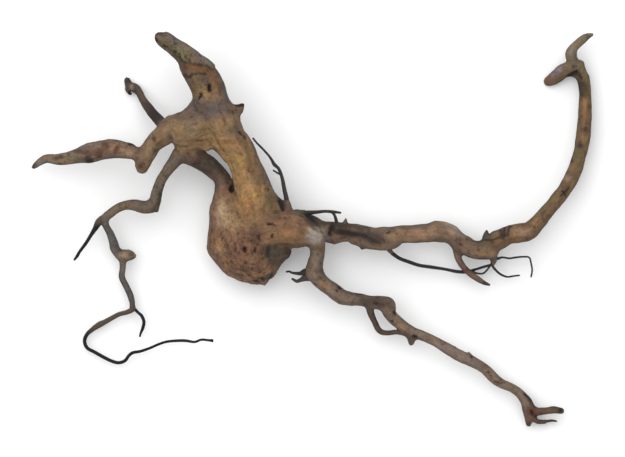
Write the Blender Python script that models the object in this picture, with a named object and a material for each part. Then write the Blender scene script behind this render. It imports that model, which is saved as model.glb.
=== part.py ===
"""Dry root: one branching, naturally grown piece of wood, modelled as one closed solid.

The root lies on the floor. +X runs along its length, from the thin rootlets to the hooked neck, +Y
across it, +Z up. The origin is under the middle of its bounding box, on the floor.

Every limb is a tapered, slightly fluted tube along a hand-chosen route. The stout limbs are fused
into one skin and smoothed, the fine rootlets are joined to that skin, and the low points are worn flat
where the root stands on the floor.
"""

import math
from typing import NamedTuple

import bpy
from mathutils import Vector

MM = 0.001

# Driving dimensions, in millimetres unless the name says otherwise
BULB_FLATNESS = 0.8  # height of the bulb's section over its width
SKIN_CELL = 1.3  # finest detail that the fused skin holds
SKIN_SMOOTHING_PASSES = 3
SKIN_TRIANGLES = 8200
LIMB_SIDES = 16
ROOTLET_SIDES = 5
LIMB_STEP = 2.5  # distance between sections along a stout limb
ROOTLET_STEP = 4.5
FLUTE_DEPTH = 0.07  # share of the limb's radius
FLUTE_PITCH = 46.0  # length along the limb in which a flute goes once round
SWELL_DEPTH = 0.04  # share of the radius by which a limb swells and narrows
SWELL_LENGTH = 17.0
FLOOR_BLOCK = (600.0, 500.0, 40.0)  # sides of the block that wears the low points flat
WOOD_COLOUR = (0.26, 0.17, 0.10, 1.0)
WOOD_ROUGHNESS = 0.8


class Limb(NamedTuple):
    """One limb: its route as (x, y, z, radius) points in millimetres, and how flat its section is."""

    name: str
    route: tuple
    flatness: float = 1.0


STOUT_LIMBS = (
    Limb("bulb", (
        (-70.4, 29.2, 26, 8), (-67.8, 20.4, 26, 15.8), (-61.6, 8.4, 25, 22.6), (-55.8, -5.4, 22.5, 28.8),
        (-51.4, -15.4, 21.3, 27.2), (-44.4, -26.4, 21, 23), (-40.7, -35.6, 21, 16.9), (-38.8, -41.2, 21, 8.6),
    ), BULB_FLATNESS),
    Limb("trunk", (
        (-80.8, 104.4, 46, 14.8), (-76.8, 93.2, 46, 15.2), (-72, 82.8, 45, 15.4), (-65.9, 71, 43, 14.5),
        (-58.3, 60.9, 41, 13.4), (-53.8, 50, 39, 12.4), (-50, 38.8, 37, 13.6), (-46.8, 28, 35, 15.8),
        (-44.8, 18, 33, 16), (-44.8, 5.2, 31, 14.4), (-46.4, -7.6, 29, 9.6),
    )),
    Limb("horn", (
        (-79.6, 99, 46, 13.4), (-81, 104.4, 46, 13.2), (-82.6, 112.2, 46, 13.5), (-87.8, 121.6, 47, 12.7),
        (-93.8, 129.7, 48, 11), (-101.4, 139, 49, 8.8), (-109.4, 145.2, 50, 7), (-117.2, 150.4, 51, 6.3),
        (-121.6, 153.4, 52, 4.9), (-123.4, 155.2, 52, 2.8),
    )),
    Limb("trunk_spur", ((-66, 93, 42, 6), (-64, 92, 42, 7), (-60.2, 94, 43, 6), (-55.4, 98.6, 44, 2))),
    Limb("arch", (
        (-78.4, 88.4, 44, 13), (-89.6, 83.6, 43, 13), (-101.6, 78.8, 42, 14), (-111, 80, 41, 10.9),
        (-119, 75, 40, 8.2), (-126.6, 68.4, 38, 7.2), (-131.4, 60.2, 35, 7), (-135.6, 52, 32, 6.4),
        (-136, 45.6, 30, 3.6),
    )),
    Limb("upper_web", ((-100, 84, 42, 9.6), (-95, 92, 43, 7.4), (-90.6, 99, 44, 6.4))),
    Limb("lower_web", ((-100, 68, 40, 8), (-94, 73, 42, 8), (-86, 70, 42, 7), (-80.5, 66.9, 41, 6.5))),
    Limb("trunk_web", ((-38, 26, 33, 8), (-31, 20, 33, 7), (-25, 14, 33, 6))),
    Limb("bulb_web", (
        (-26.6, -28.8, 24, 5), (-29.6, -24.4, 26, 8.2), (-35, -15, 30, 12), (-27.4, -18, 30.5, 9.4),
        (-19, -18, 30, 5.2),
    )),
    Limb("left_horn", (
        (-132, 60.8, 36, 6), (-139.2, 59.6, 35, 5), (-147.2, 61.8, 33, 6.4), (-155.2, 63.4, 31, 6.9),
        (-165.6, 63.2, 29, 7.6), (-177.6, 60.8, 27, 7.5), (-189.6, 57.9, 24, 5.5), (-201.6, 55.6, 21, 4.6),
        (-212.4, 56.3, 18, 3.5), (-219, 53.2, 16, 2.7), (-222.4, 50.4, 15, 2.1), (-224.4, 48.8, 14, 1),
    )),
    Limb("back_branch", (
        (-109.6, 76.4, 30, 5.6), (-119.4, 83.4, 26, 4.5), (-127.6, 92.2, 20, 4), (-134.4, 101.4, 14, 3.1),
        (-138.8, 109, 8, 3), (-142.4, 113.2, 2.7, 3.6), (-146.8, 114.8, 3.2, 3.4), (-148.6, 119, 4, 2.6),
        (-149, 121.2, 4, 1.8),
    )),
    Limb("back_prong", (
        (-146.4, 114.8, 4, 2.4), (-148.6, 114, 4, 2.2), (-148.8, 111.6, 4, 1.7), (-147.2, 109, 4, 1.2),
    )),
    Limb("strap", (
        (-98, 60.8, 35, 9.2), (-85.4, 52.8, 29.5, 7.6), (-74.4, 42.6, 25, 6.8), (-69.6, 33.4, 25, 9),
        (-68.6, 23.4, 25, 12),
    )),
    Limb("lower_left_limb", (
        (-102.6, 64.6, 39, 6.6), (-107.6, 57, 35, 6), (-114.4, 48.4, 31, 4.3), (-120.4, 39.6, 27, 3.8),
        (-123.6, 31, 25, 4.4), (-125.6, 22.8, 23, 5.1), (-128.8, 18, 22, 5.2), (-135.2, 17.6, 22, 4.8),
        (-142.4, 19, 21, 4.2), (-149.6, 18.8, 20, 3.6), (-156.8, 16, 18, 3.6), (-162.4, 12, 17, 3.6),
        (-167.2, 8, 16, 4),
    )),
    Limb("elbow_heel", ((-125.6, 20, 22, 4.5), (-125.6, 16.8, 22, 4.2), (-124, 13.6, 22, 2))),
    Limb("left_stem", (
        (-167.2, 6.8, 16, 4), (-165.2, 2, 16, 2.9), (-161.8, -4.4, 15, 3), (-159.6, -10.8, 14, 3.4),
        (-157.6, -17.2, 13, 4), (-154.4, -22, 12, 4), (-152, -26, 11.5, 3), (-152, -31.8, 11, 2.5),
        (-152.6, -38.8, 10, 2.5), (-149.2, -46.2, 9, 2.5), (-146, -53.4, 8.5, 2.6), (-144.4, -59.6, 8, 2.3),
        (-144.4, -64.4, 8, 2.4),
    )),
    Limb("stem_knob", (
        (-154.4, -21.2, 12, 4), (-148.8, -21.2, 12, 4.8), (-144.4, -21.6, 12, 3.6), (-141.2, -21.8, 12, 1.2),
    )),
    Limb("knuckle", (
        (-46, -4, 31, 13), (-40, -2.8, 32, 15), (-29.6, -0.4, 33, 15), (-19.2, 0, 34, 15.4),
        (-9.6, -2.4, 35, 14), (-0.9, -5.8, 36, 10.3), (5.6, -10.8, 34, 7.2),
    )),
    Limb("leg", (
        (4.4, -10.8, 34, 7.4), (4.4, -19.6, 30, 5.7), (2.7, -28, 27, 6.4), (1.8, -34.4, 25, 7.3),
        (6.4, -41.6, 24, 6.3), (14.4, -48, 23, 6.2), (22.6, -53.6, 22, 6.4), (30.4, -56, 21, 5.6),
        (38.4, -57, 21, 5.2), (46.4, -58.6, 21, 5), (54.4, -59.2, 21, 5.6), (60.6, -61.6, 21, 6.8),
        (62.8, -68.2, 20, 5.4), (68, -73.8, 19, 4.8), (74.2, -79, 19, 4.4), (81.8, -83.2, 18, 4.5),
        (92.2, -87.4, 17, 4), (101.6, -92, 16, 4), (110.6, -97.4, 15, 4.7), (119.2, -102.2, 15, 4.7),
        (127.2, -105.8, 15, 4.6), (135.2, -110, 14, 4.1), (141.4, -115, 13, 4), (146.4, -120.2, 12, 4.2),
        (152.8, -124.6, 11, 3.6), (160, -127.8, 11, 3.4), (167, -132.6, 11, 3.8), (172.2, -139.2, 10, 4.6),
        (174.4, -145.6, 9.5, 5.6), (174, -152.4, 7.5, 3.6), (174.2, -158.4, 6, 2),
    )),
    Limb("first_toe", (
        (175.2, -146, 9.5, 4), (180.8, -146.6, 9.5, 3.8), (187.2, -146.4, 10, 2.8), (194.4, -145.6, 11, 3),
        (200, -146.4, 12, 2.7), (201.8, -146.8, 12, 2),
    )),
    Limb("second_toe", (
        (174, -149, 8, 3), (176.8, -151.2, 8, 3), (181.6, -155, 7, 1.7), (188, -155, 6, 1.8),
    )),
    Limb("leg_loop", (
        (45.6, -59.6, 20, 3.6), (46.8, -67, 17, 2.8), (50, -74.2, 15, 2.5), (54, -81.6, 14, 2.5),
        (60, -83.6, 14, 2.2), (67.2, -82.8, 15, 2), (73.6, -83.6, 16, 2.3), (79.2, -86, 17, 3.4),
    )),
    Limb("loop_knob", (
        (79.6, -84, 17, 3.8), (79.8, -87.4, 16.5, 3.8), (79.6, -91.8, 15, 2.4), (79.2, -93.6, 14.5, 0.9),
    )),
    Limb("right_branch", (
        (-24, 6, 25, 8), (-11.2, 5.6, 22, 9), (-1.6, 1.7, 21, 9.1), (8, -2.5, 20, 8.3),
        (16.2, -3.5, 20, 8.6), (22.4, -3, 20, 7.3), (31.6, -3.4, 20, 6.6), (40, -6.4, 20.5, 8.8),
        (51.2, -8.4, 21, 8.9), (62, -7.6, 21, 9.2),
        (70.4, -4.5, 20, 7.2), (82.4, -4.2, 19, 6.9), (92.8, -3.2, 19, 7.2), (100.8, -1.9, 19, 8),
        (109.8, -3.8, 19, 7.3), (117.6, -10, 18, 7.2), (125.4, -15.2, 17, 7.4), (134.4, -17.2, 17, 7.5),
        (142.4, -17.2, 18, 8), (146.4, -18.8, 17, 6.4),
    )),
    Limb("tuft", (
        (143, -17, 17, 5), (144.8, -20.8, 16, 3.9), (146, -25.2, 13, 3), (144.8, -29.2, 11, 1.2),
    )),
    Limb("neck", (
        (140.8, -14, 18, 7.2), (148.8, -9.2, 20, 7.8), (156.8, -5.1, 20, 6.9), (166, -3.2, 20, 7.3),
        (174.8, -1.4, 19, 7.3), (181.8, 5.4, 18, 6.5), (188, 12.7, 17, 5.7), (195, 20.6, 16, 5.5),
        (202.2, 30.2, 15, 5.6), (208, 40, 14, 5.9), (212.6, 50.8, 13, 5.6), (216, 62.8, 12, 5.4),
        (217.8, 74.8, 11.5, 5.7), (219.1, 86.8, 11, 5.6), (219.4, 96.4, 10.5, 5.4), (219.3, 106.8, 10, 5.1),
        (218.4, 114.8, 9.8, 5.1), (216.8, 122.4, 9.6, 5.6), (212.4, 127.6, 9.5, 5.6), (206.4, 128, 9, 5.6),
        (201.2, 126, 7.8, 5.6), (195.6, 121.6, 5, 5), (190.8, 118.9, 3.2, 4.1), (187.6, 118, 2.4, 3),
    )),
    Limb("neck_horn", (
        (213.2, 126, 9, 5.6), (211.4, 130, 9, 4.9), (209, 135.4, 12, 4.6), (208, 140.4, 14, 4.6),
        (209.8, 144.9, 17, 3.6), (213.8, 149.2, 20, 3.5), (218.2, 152.8, 23, 3), (222, 154.8, 25, 2),
        (225.4, 155.6, 26, 0.9),
    )),
    Limb("neck_heel", ((211, 125.4, 9.5, 5.4), (214.4, 130, 10, 5), (214.8, 134, 11, 3.8))),
    Limb("collar_spike", (
        (138.6, -12, 20, 4), (138.8, -9.2, 22, 3.6), (139.6, -4.4, 24, 2.3), (140, -1.2, 25, 0.8),
    )),
    Limb("branch_bump", ((98.4, -1, 19, 5), (98.4, 0.4, 20, 4), (98, 5.6, 21, 1.6))),
    Limb("branch_spike", (
        (26, -1, 21, 4), (26.4, 2, 22, 3.2), (26.8, 6, 23, 1.8), (27.2, 8.4, 24, 0.9),
    )),
    Limb("branch_step", ((42.5, -9, 19, 5.5), (41.6, -12.8, 18, 5), (39.4, -15.4, 17, 3.2))),
    Limb("first_leg_nub", ((112, -98, 15.5, 3), (113.6, -96.4, 17, 2.4), (114.8, -94, 18, 0.9))),
    Limb("second_leg_nub", ((126.6, -105, 15.5, 3), (126.4, -102.8, 17, 2.8), (125.6, -98.8, 18, 0.9))),
    Limb("strip_root", ((-20, 10, 27, 5), (-12.8, 12.4, 26, 3.4), (-4.8, 12.8, 26, 2.6))),
    Limb("twig_root", ((-23, 8, 33, 8), (-20.8, 15.8, 34, 6.2), (-20, 22.4, 32, 2.3))),
    Limb("crossing_twig", (
        (115, -12, 18, 5), (116, -16.4, 17, 3.6), (117.2, -22.8, 16, 2.8), (120.6, -29.4, 15, 2.6),
        (126, -35.2, 14, 2.6), (132, -39.6, 13, 2.4), (137.6, -43.2, 12.5, 1.8),
    )),
    Limb("passing_root_start", ((60, -12, 18, 4), (61.6, -16.4, 16, 2.4), (64.8, -20, 14, 1.6))),
)

ROOTLETS = (
    Limb("left_hair", (
        (-167.2, 8, 16, 3.6), (-171.2, 5.2, 15, 3.0), (-174, 0.4, 14, 2.1), (-177.6, -5.2, 13, 1.3),
        (-181.6, -11.6, 12, 1.1), (-186.4, -18, 10.5, 1.1), (-188.8, -22, 9.5, 1), (-191.2, -25.2, 9, 0.7),
    )),
    Limb("hook_hair", (
        (-144.2, -61, 8.2, 1.6), (-144.4, -64.4, 8, 2.2), (-148.8, -66.8, 7.5, 1.9), (-155.2, -68.6, 7, 1.8),
        (-160.8, -71.6, 6.5, 1.9), (-166.4, -74.8, 6.2, 2.1), (-171.2, -77.2, 6.2, 2.4),
        (-176.4, -80.8, 6, 1.9), (-180.8, -84.8, 5.8, 1.6), (-182.8, -90, 5.8, 1.5),
        (-180.8, -95.6, 5.8, 1.4), (-175.2, -98.8, 6, 1.4), (-168, -102.8, 6.5, 1.4),
        (-161.6, -106, 7, 1.4), (-155.6, -107.6, 7.5, 1.4),
        (-150.4, -106, 8, 1.4), (-147.2, -102, 8.5, 1.3), (-144, -99.6, 8.5, 1.3), (-137.6, -98.4, 8, 1.1),
        (-129.6, -95.6, 8, 1), (-123.2, -92.8, 8.5, 1), (-116.8, -90.8, 9, 1), (-108.8, -90, 9.5, 1.1),
        (-101.6, -90, 10, 1.2), (-94.4, -91, 10.5, 1), (-88.8, -89.2, 11, 1), (-83.2, -89.6, 11.5, 1),
        (-79.6, -90, 12, 1.4),
    )),
    Limb("hook_side_hair", (
        (-144.4, -62.4, 8, 1.6), (-140, -67, 8, 1.2), (-136.8, -70, 9, 1.3), (-135, -74.8, 9, 1.3),
        (-136, -80, 8, 1.3), (-137.8, -84.4, 7, 0.9), (-138.4, -86.8, 6.5, 0.7),
    )),
    Limb("back_prong_tip", ((-147.6, 110.6, 4, 1.2), (-146.8, 108.8, 4, 1.2), (-145.2, 108.4, 4, 0.8))),
    Limb("second_toe_tip", (
        (181.6, -154.6, 7, 1.4), (188, -154.8, 6, 1.2), (192.8, -154.2, 5.5, 1), (196.8, -154.8, 5, 0.7),
    )),
    Limb("flat_strip", (
        (-12.8, 12.4, 26, 2.2), (-4.8, 12.8, 26, 2), (3.2, 13.4, 26, 1.5), (10.4, 14, 27, 1.2),
        (16.8, 13.6, 27, 1.3), (23.2, 12.8, 28, 0.8),
    )),
    Limb("strip_loop", ((15.2, 13.8, 27, 1), (18, 10.8, 26, 1.1), (19.6, 5.2, 23, 1.4), (19.6, 1, 21, 1.6))),
    Limb("up_twig", (
        (-21.6, 18.4, 33, 2.2), (-20.4, 22.8, 32, 1.9), (-22, 30.8, 31, 1.6), (-23.8, 40.4, 31, 1.4),
        (-25.8, 46.4, 32, 1.3), (-27.4, 49, 32.4, 1.3), (-30.2, 51.4, 33, 1.5), (-32, 54.6, 34, 1.2),
        (-34.6, 58.4, 36, 1),
        (-39.8, 64.2, 38, 0.9), (-44.4, 68.8, 40, 0.8), (-47.2, 72.4, 42, 0.7),
    )),
    Limb("up_side_twig", ((-24.6, 43, 31.2, 0.9), (-28.8, 45.2, 32, 0.8), (-31.2, 46.8, 32, 0.7))),
    Limb("first_leg_twig", (
        (0, -34.6, 25, 4), (-6, -34.8, 25, 2.6), (-9.6, -35.8, 24, 1.5), (-15.2, -35.4, 23, 1),
        (-18.4, -34.2, 23, 0.8), (-20.8, -34.6, 23, 0.7),
    )),
    Limb("second_leg_twig", (
        (0, -37.6, 24, 4.4), (-4.8, -38.8, 24, 3.2), (-8.8, -40.8, 23, 1.8), (-12, -42, 22, 1.4),
        (-14.4, -41, 21, 1.1), (-16, -40, 21, 0.9),
    )),
    Limb("crossing_twig_tip", ((132, -39.6, 13, 2), (137.6, -43.2, 12.5, 1.8), (142.8, -45.2, 12, 0.8))),
    Limb("passing_root", (
        (63.2, -18.4, 15, 1.4), (64.8, -20, 14, 1.6), (70.4, -23.8, 12.5, 1.4), (78.4, -26.8, 11.5, 1.4),
        (86.4, -29.4, 11, 1.3), (96, -30.8, 10.5, 1.3), (106.4, -32.4, 10, 1.2), (116.8, -34.4, 9.5, 1.3),
        (124.8, -34.4, 9, 1.3), (132, -32.4, 9.5, 1), (138.4, -30.4, 10.5, 1), (144, -28.6, 12, 1.1),
        (145.6, -24, 14, 1.4),
    )),
    Limb("arc_twig", (
        (127.4, -33.6, 9.2, 0.8), (132.8, -35.8, 9, 0.8), (137.6, -35.8, 9, 0.8), (140.8, -32.8, 10, 0.8),
        (143.6, -28.8, 11.8, 0.8),
    )),
    Limb("upper_tuft_hair", (
        (146, -21.6, 15, 1.6), (148.8, -24, 14, 1.2), (152.8, -23, 13, 0.8), (158.4, -23.8, 12, 0.8),
        (164, -23, 11.5, 0.8), (169.6, -22.6, 11, 0.75), (174.4, -23.2, 10.5, 0.7), (176, -28.4, 10, 0.7),
        (176.8, -33.2, 9, 0.7), (176, -38.8, 8, 0.7),
    )),
    Limb("lower_tuft_hair", (
        (145.2, -26, 12.6, 1.4), (144.8, -29.4, 11, 1.1), (148, -33.6, 10, 1), (152, -36.8, 9, 1),
        (156.8, -38.6, 8.5, 0.8), (161.6, -38, 8.5, 0.75), (166.8, -37.4, 8, 0.7),
    )),
)


def along(route, step):
    """Points about `step` apart on a smooth curve through the route, as (position, radius, distance)."""
    padded = (route[0],) + tuple(route) + (route[-1],)
    placed = []
    distance = 0.0
    for i in range(len(route) - 1):
        before, start, end, after = padded[i:i + 4]
        count = max(1, round(math.dist(start[:3], end[:3]) / step))
        for k in range(count):
            placed.append(spline(before, start, end, after, k / count))
    placed.append(tuple(route[-1]))
    sections = []
    for i, point in enumerate(placed):
        if i:
            distance += math.dist(placed[i - 1][:3], point[:3])
        sections.append((Vector(point[:3]), point[3], distance))
    return sections


def spline(before, start, end, after, t):
    """The Catmull-Rom curve from start to end at the share t, on position and radius alike."""
    return tuple(
        0.5 * (2 * b + (c - a) * t + (2 * a - 5 * b + 4 * c - d) * t * t + (3 * b - a - 3 * c + d) * t ** 3)
        for a, b, c, d in zip(before, start, end, after)
    )


def fluted(radius, angle, distance):
    """A limb's radius at an angle round it and a distance along it: flutes that wind, and slow swells."""
    wind = math.tau * distance / FLUTE_PITCH
    flutes = 0.6 * math.sin(3 * angle + wind) + 0.4 * math.sin(2 * angle - 0.7 * wind + 1.3)
    swell = math.sin(math.tau * distance / SWELL_LENGTH)
    return radius * (1 + FLUTE_DEPTH * flutes + SWELL_DEPTH * swell)


def tube(limb, sides, step, is_fluted):
    """A closed tube along a limb's route, as a mesh object in metres."""
    sections = along(limb.route, step)
    points, faces = [], []
    side = None
    for i, (centre, radius, distance) in enumerate(sections):
        ahead = sections[min(i + 1, len(sections) - 1)][0] - sections[max(i - 1, 0)][0]
        ahead.normalize()
        side = ahead.cross(Vector((0, 0, 1))) if side is None else side - ahead * side.dot(ahead)
        side.normalize()
        up = side.cross(ahead)
        for k in range(sides):
            angle = math.tau * k / sides
            reach = fluted(radius, angle, distance) if is_fluted else radius
            offset = (side * math.cos(angle) + up * math.sin(angle)) * reach
            offset.z *= limb.flatness
            points.append((centre + offset) * MM)
    rings = len(sections)
    for i in range(rings - 1):
        for k in range(sides):
            a, b = i * sides + k, i * sides + (k + 1) % sides
            faces.append((b, a, a + sides, b + sides))
    faces.append(tuple(range(sides)))
    faces.append(tuple(reversed(range((rings - 1) * sides, rings * sides))))
    mesh = bpy.data.meshes.new(limb.name)
    mesh.from_pydata(points, [], faces)
    mesh.update()
    shape = bpy.data.objects.new(limb.name, mesh)
    bpy.context.scene.collection.objects.link(shape)
    return shape


def joined(shapes, name):
    """One mesh object holding all the shapes' closed tubes."""
    with bpy.context.temp_override(active_object=shapes[0], selected_editable_objects=shapes):
        bpy.ops.object.join()
    shapes[0].name = shapes[0].data.name = name
    return shapes[0]


def helper(shape):
    """Marks a shape as a tool for Booleans, which isn't itself part of the model."""
    shape.hide_render = True
    shape.display_type = "WIRE"
    return shape


def floor_block():
    """A block whose top is the floor. It wears the low points flat."""
    half = [side / 2 * MM for side in FLOOR_BLOCK]
    corners = [
        (x, y, z) for x in (-half[0], half[0]) for y in (-half[1], half[1]) for z in (-2 * half[2], 0)
    ]
    faces = [(0, 1, 3, 2), (4, 6, 7, 5), (0, 4, 5, 1), (2, 3, 7, 6), (0, 2, 6, 4), (1, 5, 7, 3)]
    mesh = bpy.data.meshes.new("floor_block")
    mesh.from_pydata(corners, [], faces)
    shape = bpy.data.objects.new("floor_block", mesh)
    bpy.context.scene.collection.objects.link(shape)
    return helper(shape)


def applied(shape):
    """Applies all of a shape's modifiers."""
    graph = bpy.context.evaluated_depsgraph_get()
    mesh = bpy.data.meshes.new_from_object(shape.evaluated_get(graph))
    shape.modifiers.clear()
    shape.data = mesh
    return shape


def fused_skin():
    """The stout limbs as one smooth skin."""
    tubes = [tube(limb, LIMB_SIDES, LIMB_STEP, True) for limb in STOUT_LIMBS]
    skin = joined(tubes, "root")
    remesh = skin.modifiers.new("fuse", "REMESH")
    remesh.mode = "VOXEL"
    remesh.voxel_size = SKIN_CELL * MM
    smooth = skin.modifiers.new("weather", "SMOOTH")
    smooth.factor = 0.5
    smooth.iterations = SKIN_SMOOTHING_PASSES
    applied(skin)
    triangles = sum(len(face.vertices) - 2 for face in skin.data.polygons)
    thin = skin.modifiers.new("thin_out", "DECIMATE")
    thin.ratio = SKIN_TRIANGLES / triangles
    return applied(skin)


def wood():
    """The plain wood material."""
    material = bpy.data.materials.new("root_wood")
    material.use_nodes = True
    shader = material.node_tree.nodes["Principled BSDF"]
    shader.inputs["Base Color"].default_value = WOOD_COLOUR
    shader.inputs["Roughness"].default_value = WOOD_ROUGHNESS
    return material


def main():
    for shape in list(bpy.data.objects):
        bpy.data.objects.remove(shape, do_unlink=True)
    root = fused_skin()
    rootlets = bpy.data.collections.new("rootlets")
    bpy.context.scene.collection.children.link(rootlets)
    for limb in ROOTLETS:
        shape = helper(tube(limb, ROOTLET_SIDES, ROOTLET_STEP, False))
        bpy.context.scene.collection.objects.unlink(shape)
        rootlets.objects.link(shape)
    union = root.modifiers.new("rootlets", "BOOLEAN")
    union.operation = "UNION"
    union.operand_type = "COLLECTION"
    union.collection = rootlets
    union.solver = "EXACT"
    worn = root.modifiers.new("worn_flat", "BOOLEAN")
    worn.operation = "DIFFERENCE"
    worn.object = floor_block()
    worn.solver = "EXACT"
    root.data.materials.append(wood())


main()
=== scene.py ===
"""Dry root, as it looks: grown, weathered wood with a burl, knots, cracks and fine dark rootlets.

Sizes are in millimetres until a mesh is written. +X runs along the root, +Y across it, +Z up from the
floor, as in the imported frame.
"""
import logging
import math
from dataclasses import dataclass
from enum import Enum
from typing import Any, Sequence

import bpy
import numpy as np
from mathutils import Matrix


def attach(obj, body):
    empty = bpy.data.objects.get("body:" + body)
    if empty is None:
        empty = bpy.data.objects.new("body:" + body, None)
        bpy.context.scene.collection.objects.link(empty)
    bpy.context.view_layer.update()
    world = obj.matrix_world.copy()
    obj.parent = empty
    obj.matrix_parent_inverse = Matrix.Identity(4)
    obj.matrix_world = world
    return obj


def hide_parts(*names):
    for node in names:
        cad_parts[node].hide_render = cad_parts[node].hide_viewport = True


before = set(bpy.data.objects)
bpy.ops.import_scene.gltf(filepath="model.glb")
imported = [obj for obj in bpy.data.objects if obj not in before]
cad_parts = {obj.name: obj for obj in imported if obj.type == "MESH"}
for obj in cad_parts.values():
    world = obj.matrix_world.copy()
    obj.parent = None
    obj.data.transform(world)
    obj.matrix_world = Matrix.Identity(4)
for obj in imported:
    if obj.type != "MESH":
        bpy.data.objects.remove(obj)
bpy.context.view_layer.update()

logging.basicConfig(level=logging.INFO, format="%(message)s")
LOG = logging.getLogger("dry_root")

MM = 0.001
PIXEL = 0.8  # millimetres of the root for one pixel of the photograph
MIDDLE = (312.0, 228.5)  # the photograph's pixel over the root's origin
LIT = (1.37, 1.41, 1.46)  # how much brighter the wood shows than its own red, green and blue
HASH = np.array([374761393, 668265263, 2246822519], np.uint32)  # odd factors that scatter lattice cells
HASH_SEED, HASH_MIX = 974634777, np.uint32(1274126177)
HASH_TOP = 0xFFFFFFFF  # the largest hashed number
Array = np.ndarray


def seen_at(px: Any, py: Any) -> tuple:
    """Place on the floor plan, in mm, of a pixel: x = 0.8 (px - 312), y = 0.8 (228.5 - py)."""
    return PIXEL * (px - MIDDLE[0]), PIXEL * (MIDDLE[1] - py)


def smooth(low: float, high: float, value: Array) -> Array:
    """Smooth step: 0 under low, 1 over high and t t (3 - 2 t) between them. low may be over high."""
    t = np.clip((value - low) / (high - low), 0.0, 1.0)
    return t * t * (3.0 - 2.0 * t)


def wood(red: float, green: float, blue: float) -> Array:
    """Colour of wood that shows as this display colour of 0 to 255: ((c + 0.055) / 1.055) ^ 2.4 / LIT."""
    return ((np.array([red, green, blue]) / 255.0 + 0.055) / 1.055) ** 2.4 / np.array(LIT)


def value_noise(points: Array, seed: int = 0) -> Array:
    """Smooth random values of -1 to 1: hashed numbers on a unit lattice, blended by a quintic of each axis.

    Args:
        points: (n, 3) places, in lattice cells.
        seed: picks the pattern.

    Returns:
        n values.
    """
    cell = np.floor(points)
    t = points - cell
    t = t * t * t * (t * (t * 6.0 - 15.0) + 10.0)
    cell = cell.astype(np.int64)
    total = np.zeros(len(points))
    for corner in range(8):
        step = np.array([corner & 1, corner >> 1 & 1, corner >> 2 & 1])
        c = (cell + step).astype(np.uint32)
        mixed = c[:, 0] * HASH[0] + c[:, 1] * HASH[1] + c[:, 2] * HASH[2]
        mixed = mixed + np.uint32((seed * HASH_SEED) & HASH_TOP)
        mixed = (mixed ^ (mixed >> np.uint32(13))) * HASH_MIX
        mixed = mixed ^ (mixed >> np.uint32(16))
        total += np.prod(np.where(step, t, 1.0 - t), axis=1) * (mixed / float(HASH_TOP))
    return 2.0 * total - 1.0


def fractal(points: Array, octaves: int = 3, seed: int = 0) -> Array:
    """Sum of noises, each of half the pitch and height of the last, over the sum of their heights.

    Args:
        points: (n, 3) places, in cells of the first noise.
        octaves: how many noises.
        seed: picks the pattern.

    Returns:
        n values of -1 to 1.
    """
    total, height = np.zeros(len(points)), 1.0
    for octave in range(octaves):
        total += height * value_noise(points * 2.0 ** octave + 17.3 * octave, seed + 31 * octave)
        height *= 0.5
    return total / (2.0 - 2.0 * height)


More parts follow.
